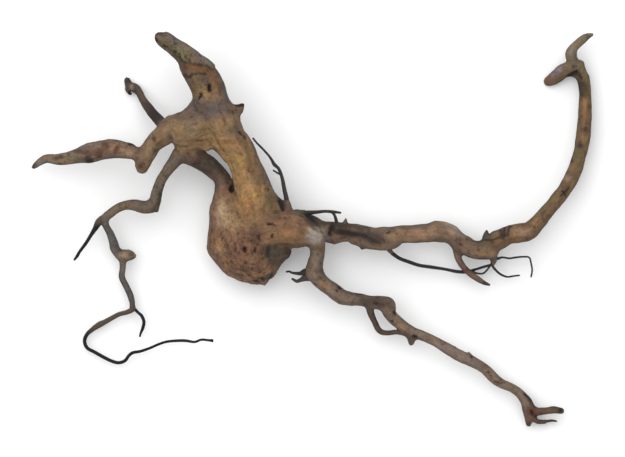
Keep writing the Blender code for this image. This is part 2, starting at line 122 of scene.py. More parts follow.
@dataclass
class Limb:
    """One grown limb: a tapered tube along a route.

    Attributes:
        name: what the limb is.
        route: (x, y, z, radius) points in mm.
        tone: display colour of its wood, 0 to 255.
        flatness: height of its section over its width.
        fluting: how deep its grown flutes are, as a share of the radius.
    """

    name: str
    route: Sequence[tuple]
    tone: tuple = (124, 102, 80)
    flatness: float = 1.0
    fluting: float = 0.07

    def centres(self, step: float) -> tuple:
        """The limb's middle line, `step` mm apart.

        On each stretch between two route points b and c, with a before and d after, place and radius are
        the Catmull-Rom curve 0.5 (2b + (c - a) t + (2a - 5b + 4c - d) t^2 + (3b - a - 3c + d) t^3).

        Args:
            step: distance between samples.

        Returns:
            (k, 3) places, k radii, k distances along, (k, 3) directions, (k, 3) sides and (k, 3) ups.
        """
        knots = np.array(self.route, float)
        spans = np.linalg.norm(np.diff(knots[:, :3], axis=0), axis=1)
        reach = np.concatenate([[0.0], np.cumsum(spans)])
        wanted = np.linspace(0.0, reach[-1], max(3, int(reach[-1] / step) + 1))
        i = np.clip(np.searchsorted(reach, wanted, "right") - 1, 0, len(spans) - 1)
        t = ((wanted - reach[i]) / spans[i])[:, None]
        last = len(knots) - 1
        a, b = knots[np.maximum(i - 1, 0)], knots[i]
        c, d = knots[i + 1], knots[np.minimum(i + 2, last)]
        place = 0.5 * (
            2 * b + (c - a) * t + (2 * a - 5 * b + 4 * c - d) * t ** 2 + (3 * b - a - 3 * c + d) * t ** 3
        )
        ahead = np.gradient(place[:, :3], axis=0)
        ahead /= np.linalg.norm(ahead, axis=1, keepdims=True)
        side = np.cross(ahead, [0.0, 0.0, 1.0])
        side /= np.linalg.norm(side, axis=1, keepdims=True)
        return place[:, :3], np.maximum(place[:, 3], 0.3), wanted, ahead, side, np.cross(side, ahead)

    def surface(self, step: float, sides: int, seed: int) -> tuple:
        """The limb's skin, closed at both ends.

        A point at angle q and distance s is centre(s) + R (side cos q + up sin q), where
        R = radius (1 + 2 fluting n(s / 40 + 7.1 seed, 1.3 cos q, 1.3 sin q)), n is fractal noise and the
        offset's z is multiplied by the flatness. Each end closes on a point half a radius beyond it.

        Args:
            step: distance between rings, in mm.
            sides: points in a ring.
            seed: picks the flutes.

        Returns:
            (n, 3) points in mm and the faces as lists of point numbers.
        """
        centre, radius, along, ahead, side, up = self.centres(step)
        angle = np.linspace(0.0, math.tau, sides, endpoint=False)
        q, s = np.meshgrid(angle, along)
        spots = np.stack([s / 40.0 + 7.1 * seed, 1.3 * np.cos(q), 1.3 * np.sin(q)], axis=-1).reshape(-1, 3)
        reach = radius[:, None] * (1.0 + self.fluting * 2.0 * fractal(spots, 3, seed).reshape(q.shape))
        offset = (np.cos(q) * reach)[..., None] * side[:, None] + (np.sin(q) * reach)[..., None] * up[:, None]
        offset[..., 2] *= self.flatness
        rings = centre[:, None] + offset
        tips = np.stack([centre[0] - 0.5 * radius[0] * ahead[0], centre[-1] + 0.5 * radius[-1] * ahead[-1]])
        points = np.concatenate([rings.reshape(-1, 3), tips])
        return points, tube_faces(len(along), sides)


def tube_faces(rings: int, sides: int) -> list:
    """Faces of a closed tube: quads between rings, and a fan at each end to one of two last points.

    Args:
        rings: number of rings.
        sides: points in a ring.

    Returns:
        The faces as lists of point numbers.
    """
    ring, k = np.meshgrid(np.arange(rings - 1) * sides, np.arange(sides), indexing="ij")
    k_next = (k + 1) % sides
    quads = np.stack([ring + k_next, ring + k, ring + k + sides, ring + k_next + sides], axis=-1)
    a = np.arange(sides)
    b = (a + 1) % sides
    first, last = rings * sides, rings * sides + 1
    start = np.stack([a, b, np.full(sides, first)], axis=1)
    end = np.stack([b, a, np.full(sides, last - (rings - 1) * sides)], axis=1) + (rings - 1) * sides
    return quads.reshape(-1, 4).tolist() + start.tolist() + end.tolist()


class Crown:
    """The heavy wood: bulb, trunk, horns, arch and the strap behind them."""

    LIMBS = (
        Limb("bulb", (
            (-70.4, 29.2, 26, 8), (-67.8, 20.4, 26, 15.8), (-61.6, 8.4, 25, 22.6), (-55.8, -5.4, 22.5, 28.8),
            (-51.4, -15.4, 21.3, 27.2), (-44.4, -26.4, 21, 23), (-40.7, -35.6, 21, 16.9),
            (-38.8, -41.2, 21, 8.6),
        ), (125, 94, 70), 0.8, 0.05),
        Limb("trunk", (
            (-80.8, 104.4, 46, 14.8), (-76.8, 93.2, 46, 15.2), (-72, 82.8, 45, 15.4), (-65.9, 71, 43, 14.5),
            (-58.3, 60.9, 41, 13.4), (-53.8, 50, 39, 12.4), (-50, 38.8, 37, 13.6), (-46.8, 28, 35, 15.8),
            (-44.8, 18, 33, 16), (-44.8, 5.2, 31, 14.4), (-46.4, -7.6, 29, 9.6),
        ), (144, 114, 77)),
        Limb("horn", (
            (-79.6, 99, 46, 13.4), (-81, 104.4, 46, 13.2), (-82.6, 112.2, 46, 13.5), (-87.8, 121.6, 47, 12.7),
            (-93.8, 129.7, 48, 11), (-101.4, 139, 49, 8.8), (-109.4, 145.2, 50, 7), (-117.2, 150.4, 51, 6.3),
            (-121.6, 153.4, 52, 4.9), (-123.4, 155.2, 52, 2.8),
        ), (106, 86, 66)),
        Limb("trunk_spur", (
            (-66, 93, 42, 6), (-64, 92, 42, 7), (-60.2, 94, 43, 6), (-55.6, 98.6, 44, 2), (-54, 100, 44, 0.7),
        ), (92, 80, 68)),
        Limb("arch", (
            (-78.4, 88.4, 44, 13), (-89.6, 83.6, 43, 13), (-101.6, 78.8, 42, 14), (-111, 80, 41, 10.9),
            (-119, 75, 40, 8.2), (-126.6, 68.4, 38, 7.2), (-131.4, 60.2, 35, 7), (-135.6, 52, 32, 6.4),
            (-136, 45.6, 30, 3.6),
        ), (123, 101, 75)),
        Limb("upper_web", ((-100, 84, 42, 9.6), (-95, 92, 43, 7.4), (-90.6, 99, 44, 6.4)), (86, 74, 68)),
        Limb("lower_web", (
            (-100, 68, 40, 8), (-94, 73, 42, 8), (-86, 70, 42, 7), (-80.5, 66.9, 41, 6.5),
        ), (148, 115, 79)),
        Limb("trunk_web", ((-38, 26, 33, 8), (-31, 20, 33, 7), (-25, 14, 33, 6)), (117, 91, 70)),
        Limb("bulb_web", (
            (-26.6, -28.8, 24, 5), (-29.6, -24.4, 26, 8.2), (-35, -15, 30, 12), (-27.4, -18, 30.5, 9.4),
            (-19, -18, 30, 5.2),
        ), (72, 59, 50)),
        Limb("left_horn", (
            (-132, 60.8, 36, 6), (-139.2, 59.6, 35, 5), (-147.2, 61.8, 33, 6.4), (-155.2, 63.4, 31, 6.9),
            (-165.6, 63.2, 29, 7.6), (-177.6, 60.8, 27, 7.5), (-189.6, 57.9, 24, 5.5),
            (-201.6, 55.6, 21, 4.6), (-212.4, 56.3, 18, 3.5), (-219, 53.2, 16, 2.7), (-222.4, 50.4, 15, 2.1),
            (-224.4, 48.8, 14, 1),
        ), (114, 94, 77)),
        Limb("back_branch", (
            (-109.6, 76.4, 30, 5.6), (-119.4, 83.4, 26, 4.5), (-127.6, 92.2, 20, 4), (-134.4, 101.4, 14, 3.1),
            (-138.8, 109, 8, 3), (-142.4, 113.2, 2.7, 3.6), (-146.8, 114.8, 3.2, 3.4), (-148.6, 119, 4, 2.6),
            (-149, 121.2, 4, 1.8),
        ), (68, 56, 50)),
        Limb("back_prong", (
            (-146.4, 114.8, 4, 2.4), (-148.6, 114, 4, 2.2), (-148.8, 111.6, 4, 1.7), (-147.2, 109, 4, 1.2),
        ), (70, 62, 58)),
        Limb("strap", (
            (-98, 60.8, 35, 9.2), (-85.4, 52.8, 29.5, 7.6), (-74.4, 42.6, 25, 6.8), (-69.6, 33.4, 25, 9),
            (-68.6, 23.4, 25, 12),
        ), (91, 74, 62)),
    )


class LowLimbs:
    """The two long limbs that run low to the left: the crooked limb and its stem."""

    LIMBS = (
        Limb("crooked_limb", (
            (-102.6, 64.6, 39, 6.6), (-107.6, 57, 35, 6), (-114.4, 48.4, 31, 4.3), (-120.4, 39.6, 27, 3.8),
            (-123.6, 31, 25, 4.4), (-125.6, 22.8, 23, 5.1), (-128.8, 18, 22, 5.2), (-135.2, 17.6, 22, 4.8),
            (-142.4, 19, 21, 4.2), (-149.6, 18.8, 20, 3.6), (-156.8, 16, 18, 3.6), (-162.4, 12, 17, 3.6),
            (-167.2, 8, 16, 4),
        ), (98, 86, 73)),
        Limb("elbow_heel", (
            (-125.6, 20, 22, 4.5), (-125.6, 16.8, 22, 4.2), (-124, 13.6, 22, 2),
        ), (84, 74, 64)),
        Limb("stem", (
            (-167.2, 6.8, 16, 4), (-165.2, 2, 16, 2.9), (-161.8, -4.4, 15, 3), (-159.6, -10.8, 14, 3.4),
            (-157.6, -17.2, 13, 4), (-154.4, -22, 12, 4), (-152, -26, 11.5, 3), (-152, -31.8, 11, 2.5),
            (-152.6, -38.8, 10, 2.5), (-149.2, -46.2, 9, 2.5), (-146, -53.4, 8.5, 2.6),
            (-144.4, -59.6, 8, 2.3), (-144.4, -64.4, 8, 2.4),
        ), (79, 76, 74)),
        Limb("stem_knob", (
            (-154.4, -21.2, 12, 4), (-148.8, -21.2, 12, 4.8), (-144.4, -21.6, 12, 3.6),
            (-141.2, -21.8, 12, 1.2),
        ), (122, 103, 86)),
    )


class Leg:
    """The knuckle beside the bulb and the long leg that runs down to the right, with its loop and toes."""

    LIMBS = (
        Limb("knuckle", (
            (-46, -4, 31, 13), (-40, -2.8, 32, 15), (-29.6, -0.4, 33, 15), (-19.2, 0, 34, 15.4),
            (-9.6, -2.4, 35, 14), (-0.9, -5.8, 36, 10.3), (5.6, -10.8, 34, 7.2),
        ), (123, 93, 68)),
        Limb("leg", (
            (4.4, -10.8, 34, 7.4), (4.4, -19.6, 30, 5.7), (2.7, -28, 27, 6.4), (1.8, -34.4, 25, 7.3),
            (6.4, -41.6, 24, 6.3), (14.4, -48, 23, 6.2), (22.6, -53.6, 22, 6.4), (30.4, -56, 21, 5.6),
            (38.4, -57, 21, 5.2), (46.4, -58.6, 21, 5), (54.4, -59.2, 21, 5.6), (60.6, -61.6, 21, 6.8),
            (62.8, -68.2, 20, 5.4), (68, -73.8, 19, 4.8), (74.2, -79, 19, 4.4), (81.8, -83.2, 18, 4.5),
            (92.2, -87.4, 17, 4), (101.6, -92, 16, 4), (110.6, -97.4, 15, 4.7), (119.2, -102.2, 15, 4.7),
            (127.2, -105.8, 15, 4.6), (135.2, -110, 14, 4.1), (141.4, -115, 13, 4), (146.4, -120.2, 12, 4.2),
            (152.8, -124.6, 11, 3.6), (160, -127.8, 11, 3.4), (167, -132.6, 11, 3.8),
            (172.2, -139.2, 10, 4.6), (174.4, -145.6, 9.5, 5.6), (174, -152.4, 7.5, 3.6),
            (174.2, -158.4, 6, 2),
        ), (110, 94, 81)),
        Limb("first_toe", (
            (175.2, -146, 9.5, 4), (180.8, -146.6, 9.5, 3.8), (187.2, -146.4, 10, 2.8),
            (194.4, -145.6, 11, 3), (200, -146.4, 12, 2.7), (201.8, -146.8, 12, 2),
        ), (87, 66, 51)),
        Limb("second_toe", (
            (174, -149, 8, 3), (176.8, -151.2, 8, 3), (181.6, -155, 7, 1.7), (188, -155, 6, 1.8),
        ), (80, 62, 50)),
        Limb("leg_loop", (
            (45.6, -59.6, 20, 3.6), (46.8, -67, 17, 2.8), (50, -74.2, 15, 2.5), (54, -81.6, 14, 2.5),
            (60, -83.6, 14, 2.2), (67.2, -82.8, 15, 2), (73.6, -83.6, 16, 2.3), (79.2, -86, 17, 3.4),
        ), (71, 56, 47)),
        Limb("loop_knob", (
            (79.6, -84, 17, 3.8), (79.8, -87.4, 16.5, 3.8), (79.6, -91.8, 15, 2.4), (79.2, -93.6, 14.5, 0.9),
        ), (88, 73, 62)),
        Limb("first_leg_nub", (
            (112, -98, 15.5, 3), (113.6, -96.4, 17, 2.4), (114.8, -94, 18, 0.9),
        ), (112, 99, 88)),
        Limb("second_leg_nub", (
            (126.6, -105, 15.5, 3), (126.4, -102.8, 17, 2.8), (125.6, -98.8, 18, 0.9),
        ), (112, 99, 88)),
    )


class Arm:
    """The arm that runs to the right and turns up into the neck, with the head and its small horn."""

    LIMBS = (
        Limb("arm", (
            (-24, 6, 25, 8), (-11.2, 5.6, 22, 9), (-1.6, 1.7, 21, 9.1), (8, -2.5, 20, 8.3),
            (16.2, -3.5, 20, 8.6), (22.4, -2.5, 20, 7.7), (31.6, -2.9, 20, 6.9), (40, -6.4, 20.5, 8.8),
            (51.2, -8.4, 21, 8.9), (62, -7.6, 21, 9.2), (70.4, -4.5, 20, 7.2), (82.4, -4.2, 19, 6.9),
            (92.8, -3.2, 19, 7.2), (100.8, -1.9, 19, 8), (109.8, -3.8, 19, 7.3), (117.6, -10, 18, 7.2),
            (125.4, -15.2, 17, 7.4), (134.4, -17.2, 17, 7.5), (142.4, -17.2, 18, 8), (146.4, -18.8, 17, 6.4),
        ), (110, 90, 74)),
        Limb("tuft", (
            (143, -17, 17, 5), (144.8, -20.8, 16, 3.9), (146, -25.2, 13, 3), (144.8, -29.2, 11, 1.2),
        ), (98, 89, 82)),
        Limb("neck", (
            (140.8, -14, 18, 7.2), (148.8, -9.2, 20, 7.8), (156.8, -5.1, 20, 6.9), (166, -3.2, 20, 7.3),
            (174.8, -1.4, 19, 7.3), (181.8, 5.4, 18, 6.5), (188, 12.7, 17, 5.7), (195, 20.6, 16, 5.5),
            (202.2, 30.2, 15, 5.6), (208, 40, 14, 5.9), (212.6, 50.8, 13, 5.6), (216, 62.8, 12, 5.4),
            (217.8, 74.8, 11.5, 5.7), (219.1, 86.8, 11, 5.6), (219.4, 96.4, 10.5, 5.4),
            (219.3, 106.8, 10, 5.1), (218.4, 114.8, 9.8, 5.1), (216.8, 122.4, 9.6, 5.6),
            (212.4, 127.6, 9.5, 5.6), (206.4, 128, 9, 5.6), (201.2, 126, 7.8, 5.6), (195.6, 121.6, 5, 5),
            (190.8, 118.9, 3.2, 4.1), (187.6, 118, 2.4, 3),
        ), (104, 83, 58)),
        Limb("neck_horn", (
            (213.2, 126, 9, 5.6), (211.4, 130, 9, 4.9), (209, 135.4, 12, 4.6), (208, 140.4, 14, 4.6),
            (209.8, 144.9, 17, 3.6), (213.8, 149.2, 20, 3.5), (218.2, 152.8, 23, 3), (222, 154.8, 25, 2),
            (225.4, 155.6, 26, 0.9),
        ), (112, 101, 82)),
        Limb("neck_heel", (
            (211, 125.4, 9.5, 5.4), (214.4, 130, 10, 5), (214.8, 134, 11, 3.8),
        ), (104, 92, 74)),
        Limb("collar_spike", (
            (138.6, -12, 20, 4), (138.8, -9.2, 22, 3.6), (139.6, -4.4, 24, 2.3), (140, -1.2, 25, 0.8),
        ), (50, 52, 56)),
        Limb("arm_bump", ((98.4, -1, 19, 5), (98.4, 0.4, 20, 4), (98, 5.6, 21, 1.6)), (122, 98, 76)),
        Limb("arm_spike", (
            (26, -1, 21, 4), (26.4, 2, 22, 3.2), (26.8, 6, 23, 1.8), (27.2, 8.4, 24, 0.9),
        ), (72, 62, 54)),
        Limb("arm_step", ((42.5, -9, 19, 5.5), (41.6, -12.8, 18, 5), (39.4, -15.4, 17, 3.2)), (88, 70, 60)),
        Limb("strip_root", ((-20, 10, 27, 5), (-12.8, 12.4, 26, 3.4), (-4.8, 12.8, 26, 2.6)), (70, 62, 54)),
        Limb("twig_root", ((-23, 8, 33, 8), (-20.8, 15.8, 34, 6.2), (-20, 22.4, 32, 2.3)), (96, 78, 66)),
        Limb("crossing_twig", (
            (115, -12, 18, 5), (116, -16.4, 17, 3.6), (117.2, -22.8, 16, 2.8), (120.6, -29.4, 15, 2.6),
            (126, -35.2, 14, 2.6), (132, -39.6, 13, 2.4), (137.6, -43.2, 12.5, 1.8),
        ), (98, 78, 66)),
        Limb("passing_root_start", (
            (60, -12, 18, 4), (61.6, -16.4, 16, 2.4), (64.8, -20, 14, 1.6),
        ), (88, 70, 60)),
    )


class Rootlets:
    """The fine dark rootlets, each a tube of its own sunk into the wood it grows from."""

    DARK = (25, 28, 33)
    LIMBS = (
        Limb("left_hair", (
            (-167.2, 8, 16, 3.6), (-171.2, 5.2, 15, 3.0), (-174, 0.4, 14, 2.1), (-177.6, -5.2, 13, 1.5),
            (-181.6, -11.6, 12, 1.4), (-186.4, -18, 10.5, 1.3), (-188.8, -22, 9.5, 1.3),
            (-191.2, -25.2, 9, 0.8),
        ), DARK),
        Limb("hook_hair", (
            (-144.2, -61, 8.2, 1.6), (-144.4, -64.4, 8, 2.2), (-148.8, -66.8, 7.5, 1.9),
            (-155.2, -68.6, 7, 1.8), (-160.8, -71.6, 6.5, 1.9), (-166.4, -74.8, 6.2, 2.1),
            (-171.2, -77.2, 6.2, 2.4), (-176.4, -80.8, 6, 1.9), (-180.8, -84.8, 5.8, 1.6),
            (-182.8, -90, 5.8, 1.5), (-180.8, -95.6, 5.8, 1.4), (-175.2, -98.8, 6, 1.4),
            (-168, -102.8, 6.5, 1.4), (-161.6, -106, 7, 1.4), (-155.6, -107.6, 7.5, 1.4),
            (-150.4, -106, 8, 1.4), (-147.2, -102, 8.5, 1.3), (-144, -99.6, 8.5, 1.3),
            (-137.6, -98.4, 8, 1.1), (-129.6, -95.6, 8, 1), (-123.2, -92.8, 8.5, 1), (-116.8, -90.8, 9, 1),
            (-108.8, -90, 9.5, 1.1), (-101.6, -90, 10, 1.2), (-94.4, -91, 10.5, 1), (-88.8, -89.2, 11, 1),
            (-83.2, -89.6, 11.5, 1), (-79.6, -90, 12, 1.4),
        ), DARK),
        Limb("hook_side_hair", (
            (-144.4, -62.4, 8, 1.6), (-140, -67, 8, 1.2), (-136.8, -70, 9, 1.3), (-135, -74.8, 9, 1.3),
            (-136, -80, 8, 1.3), (-137.8, -84.4, 7, 0.9), (-138.4, -86.8, 6.5, 0.7),
        ), DARK),
        Limb("back_prong_tip", (
            (-147.6, 110.6, 4, 1.2), (-146.8, 108.8, 4, 1.2), (-145.2, 108.4, 4, 0.8),
        ), DARK),
        Limb("second_toe_tip", (
            (181.6, -154.6, 7, 1.4), (188, -154.8, 6, 1.2), (192.8, -154.2, 5.5, 1), (196.8, -154.8, 5, 0.7),
        ), (80, 64, 56)),
        Limb("flat_strip", (
            (-12.8, 12.4, 26, 2.2), (-4.8, 12.8, 26, 2), (3.2, 13.4, 26, 1.5), (10.4, 14, 27, 1.2),
            (16.8, 13.6, 27, 1.3), (23.2, 12.8, 28, 0.8),
        ), (58, 52, 48)),
        Limb("strip_loop", (
            (15.2, 13.8, 27, 1), (18, 10.8, 26, 1.1), (19.6, 5.2, 23, 1.4), (19.6, 1, 21, 1.6),
        ), (62, 56, 52)),
        Limb("up_twig", (
            (-21.6, 18.4, 33, 2.2), (-20.4, 22.8, 32, 1.9), (-22, 30.8, 31, 1.6), (-23.8, 40.4, 31, 1.4),
            (-25.8, 46.4, 32, 1.3), (-27.4, 49, 32.4, 1.3), (-30.2, 51.4, 33, 1.5), (-32, 54.6, 34, 1.2),
            (-34.6, 58.4, 36, 1), (-39.8, 64.2, 38, 0.9), (-44.4, 68.8, 40, 0.8), (-47.2, 72.4, 42, 0.7),
        ), (62, 58, 60)),
        Limb("up_side_twig", (
            (-24.6, 43, 31.2, 0.9), (-28.8, 45.2, 32, 0.8), (-31.2, 46.8, 32, 0.7),
        ), (70, 68, 68)),
        Limb("first_leg_twig", (
            (0, -34.6, 25, 4), (-6, -34.8, 25, 2.6), (-9.6, -35.8, 24, 1.5), (-15.2, -35.4, 23, 1),
            (-18.4, -34.2, 23, 0.8), (-20.8, -34.6, 23, 0.7),
        ), (54, 48, 50)),
        Limb("second_leg_twig", (
            (0, -37.6, 24, 4.4), (-4.8, -38.8, 24, 3.2), (-8.8, -40.8, 23, 1.8), (-12, -42, 22, 1.4),
            (-14.4, -41, 21, 1.1), (-16, -40, 21, 0.9),
        ), (72, 64, 60)),
        Limb("crossing_twig_tip", (
            (132, -39.6, 13, 2), (137.6, -43.2, 12.5, 1.8), (142.8, -45.2, 12, 0.8),
        ), (72, 62, 58)),
        Limb("passing_root", (
            (63.2, -18.4, 15, 1.4), (64.8, -20, 14, 1.6), (70.4, -23.8, 12.5, 1.4), (78.4, -26.8, 11.5, 1.4),
            (86.4, -29.4, 11, 1.3), (96, -30.8, 10.5, 1.3), (106.4, -32.4, 10, 1.2), (116.8, -34.4, 9.5, 1.3),
            (124.8, -34.4, 9, 1.3), (132, -32.4, 9.5, 1), (138.4, -30.4, 10.5, 1), (144, -28.6, 12, 1.1),
            (145.6, -24, 14, 1.4),
        ), (50, 46, 48)),
        Limb("arc_twig", (
            (127.4, -33.6, 9.2, 0.8), (132.8, -35.8, 9, 0.8), (137.6, -35.8, 9, 0.8), (140.8, -32.8, 10, 0.8),
            (143.6, -28.8, 11.8, 0.8),
        ), (60, 58, 60)),
        Limb("upper_tuft_hair", (
            (146, -21.6, 15, 1.6), (148.8, -24, 14, 1.2), (152.8, -23, 13, 0.8), (158.4, -23.8, 12, 0.8),
            (164, -23, 11.5, 0.8), (169.6, -22.6, 11, 0.75), (174.4, -23.2, 10.5, 0.7), (176, -28.4, 10, 0.7),
            (176.8, -33.2, 9, 0.7), (176, -38.8, 8, 0.7),
        ), (58, 58, 62)),
        Limb("lower_tuft_hair", (
            (145.2, -26, 12.6, 1.4), (144.8, -29.4, 11, 1.1), (148, -33.6, 10, 1), (152, -36.8, 9, 1),
            (156.8, -38.6, 8.5, 0.8), (161.6, -38, 8.5, 0.75), (166.8, -37.4, 8, 0.7),
        ), (50, 50, 54)),
    )


@dataclass
class Zone:
    """A soft-edged patch of wood of another colour, or of painted shade, placed by the photograph.

    Attributes:
        at: pixel of its middle.
        size: its half length and half width, in pixels.
        turn: direction of its length, in degrees up from the photograph's right.
        tone: display colour, 0 to 255.
        share: how much of that colour it gives at its middle.
    """

    at: tuple
    size: tuple
    turn: float
    tone: tuple
    share: float = 1.0

    def cover(self, points: Array, ripple: Array) -> Array:
        """Share of the patch's colour at each point: 1 inside the ellipse, 0 at 1.5 times its size.

        The distance is sqrt(u^2 + v^2) in half sizes, plus 0.5 times a noise: a broad one for a patch over
        4 pixels wide and a fine one for a small blotch, so that the edge wanders.

        Args:
            points: (n, 3) places in mm.
            ripple: (2, n) broad and fine noise.

        Returns:
            n shares, 0 to 1.
        """
        x, y = seen_at(*self.at)
        c, s = math.cos(math.radians(self.turn)), math.sin(math.radians(self.turn))
        dx, dy = points[:, 0] - x, points[:, 1] - y
        u = (dx * c + dy * s) / (self.size[0] * PIXEL)
        v = (dy * c - dx * s) / (self.size[1] * PIXEL)
        noise = ripple[0] if min(self.size) >= 4 else ripple[1]
        return self.share * smooth(1.5, 0.3, np.sqrt(u * u + v * v) + 0.5 * noise)


def away_from(line: Array, points: Array) -> Array:
    """Distance of each point, seen from above, from a line: that of the nearest place on each stretch.

    Args:
        line: (k, 2) places in mm, two or more.
        points: (n, 3) places in mm.

    Returns:
        n distances in mm.
    """
    start, run = line[:-1], np.diff(line, axis=0)
    t = ((points[:, None, :2] - start) * run).sum(-1) / (run * run).sum(-1)
    nearest = start + np.clip(t, 0.0, 1.0)[..., None] * run
    return np.linalg.norm(points[:, None, :2] - nearest, axis=2).min(axis=1)


@dataclass
class Mark:
    """A knot hole, pit or crack, pressed into the upper side of the wood and darkened with grime and painted
    shade.

    Attributes:
        at: the pixels of its line, two or more, as (px, py) pairs.
        width: its half width, in mm.
        depth: how deep it is, in mm.
        shade: how dark it is, 0 to 1.
    """

    at: Sequence[tuple]
    width: float
    depth: float
    shade: float

    def reach(self, points: Array, ripple: Array) -> Array:
        """Distance of each point from the mark's line in half widths, plus 0.4 times a fine noise."""
        line = np.array([seen_at(*pixel) for pixel in self.at])
        return np.maximum(away_from(line, points) / self.width + 0.4 * ripple[1], 0.0)


@dataclass
class Shelf:
    """A patch where an older layer stands over the wood round it and ends in a ragged little step.

    Attributes:
        outline: the pixels of its corners.
        lift: height of the step, in mm.
        tone: display colour of the layer, 0 to 255.
        share: how much of that colour it gives.
    """

    outline: Sequence[tuple]
    lift: float
    tone: tuple
    share: float

    def inside(self, points: Array, ripple: Array) -> Array:
        """Distance of each point inside the outline, in mm and below 0 outside, plus 1.6 times a fine noise.

        A point is inside if a line from it to the right crosses the outline an odd number of times.

        Args:
            points: (n, 3) places in mm.
            ripple: (2, n) broad and fine noise.

        Returns:
            n distances in mm.
        """
        corner = np.array([seen_at(*pixel) for pixel in self.outline])
        ring = np.concatenate([corner, corner[:1]])
        away = away_from(ring, points)
        x, y = points[:, None, 0], points[:, None, 1]
        first, second = ring[:-1], ring[1:]
        rise = second[:, 1] - first[:, 1]
        crossing = first[:, 0] + (y - first[:, 1]) / np.where(rise == 0.0, 1.0, rise) * (second - first)[:, 0]
        spans = (first[:, 1] <= y) != (second[:, 1] <= y)
        odd = (spans & (x < crossing)).sum(axis=1) % 2 == 1
        return np.where(odd, away, -away) + 1.6 * ripple[1]


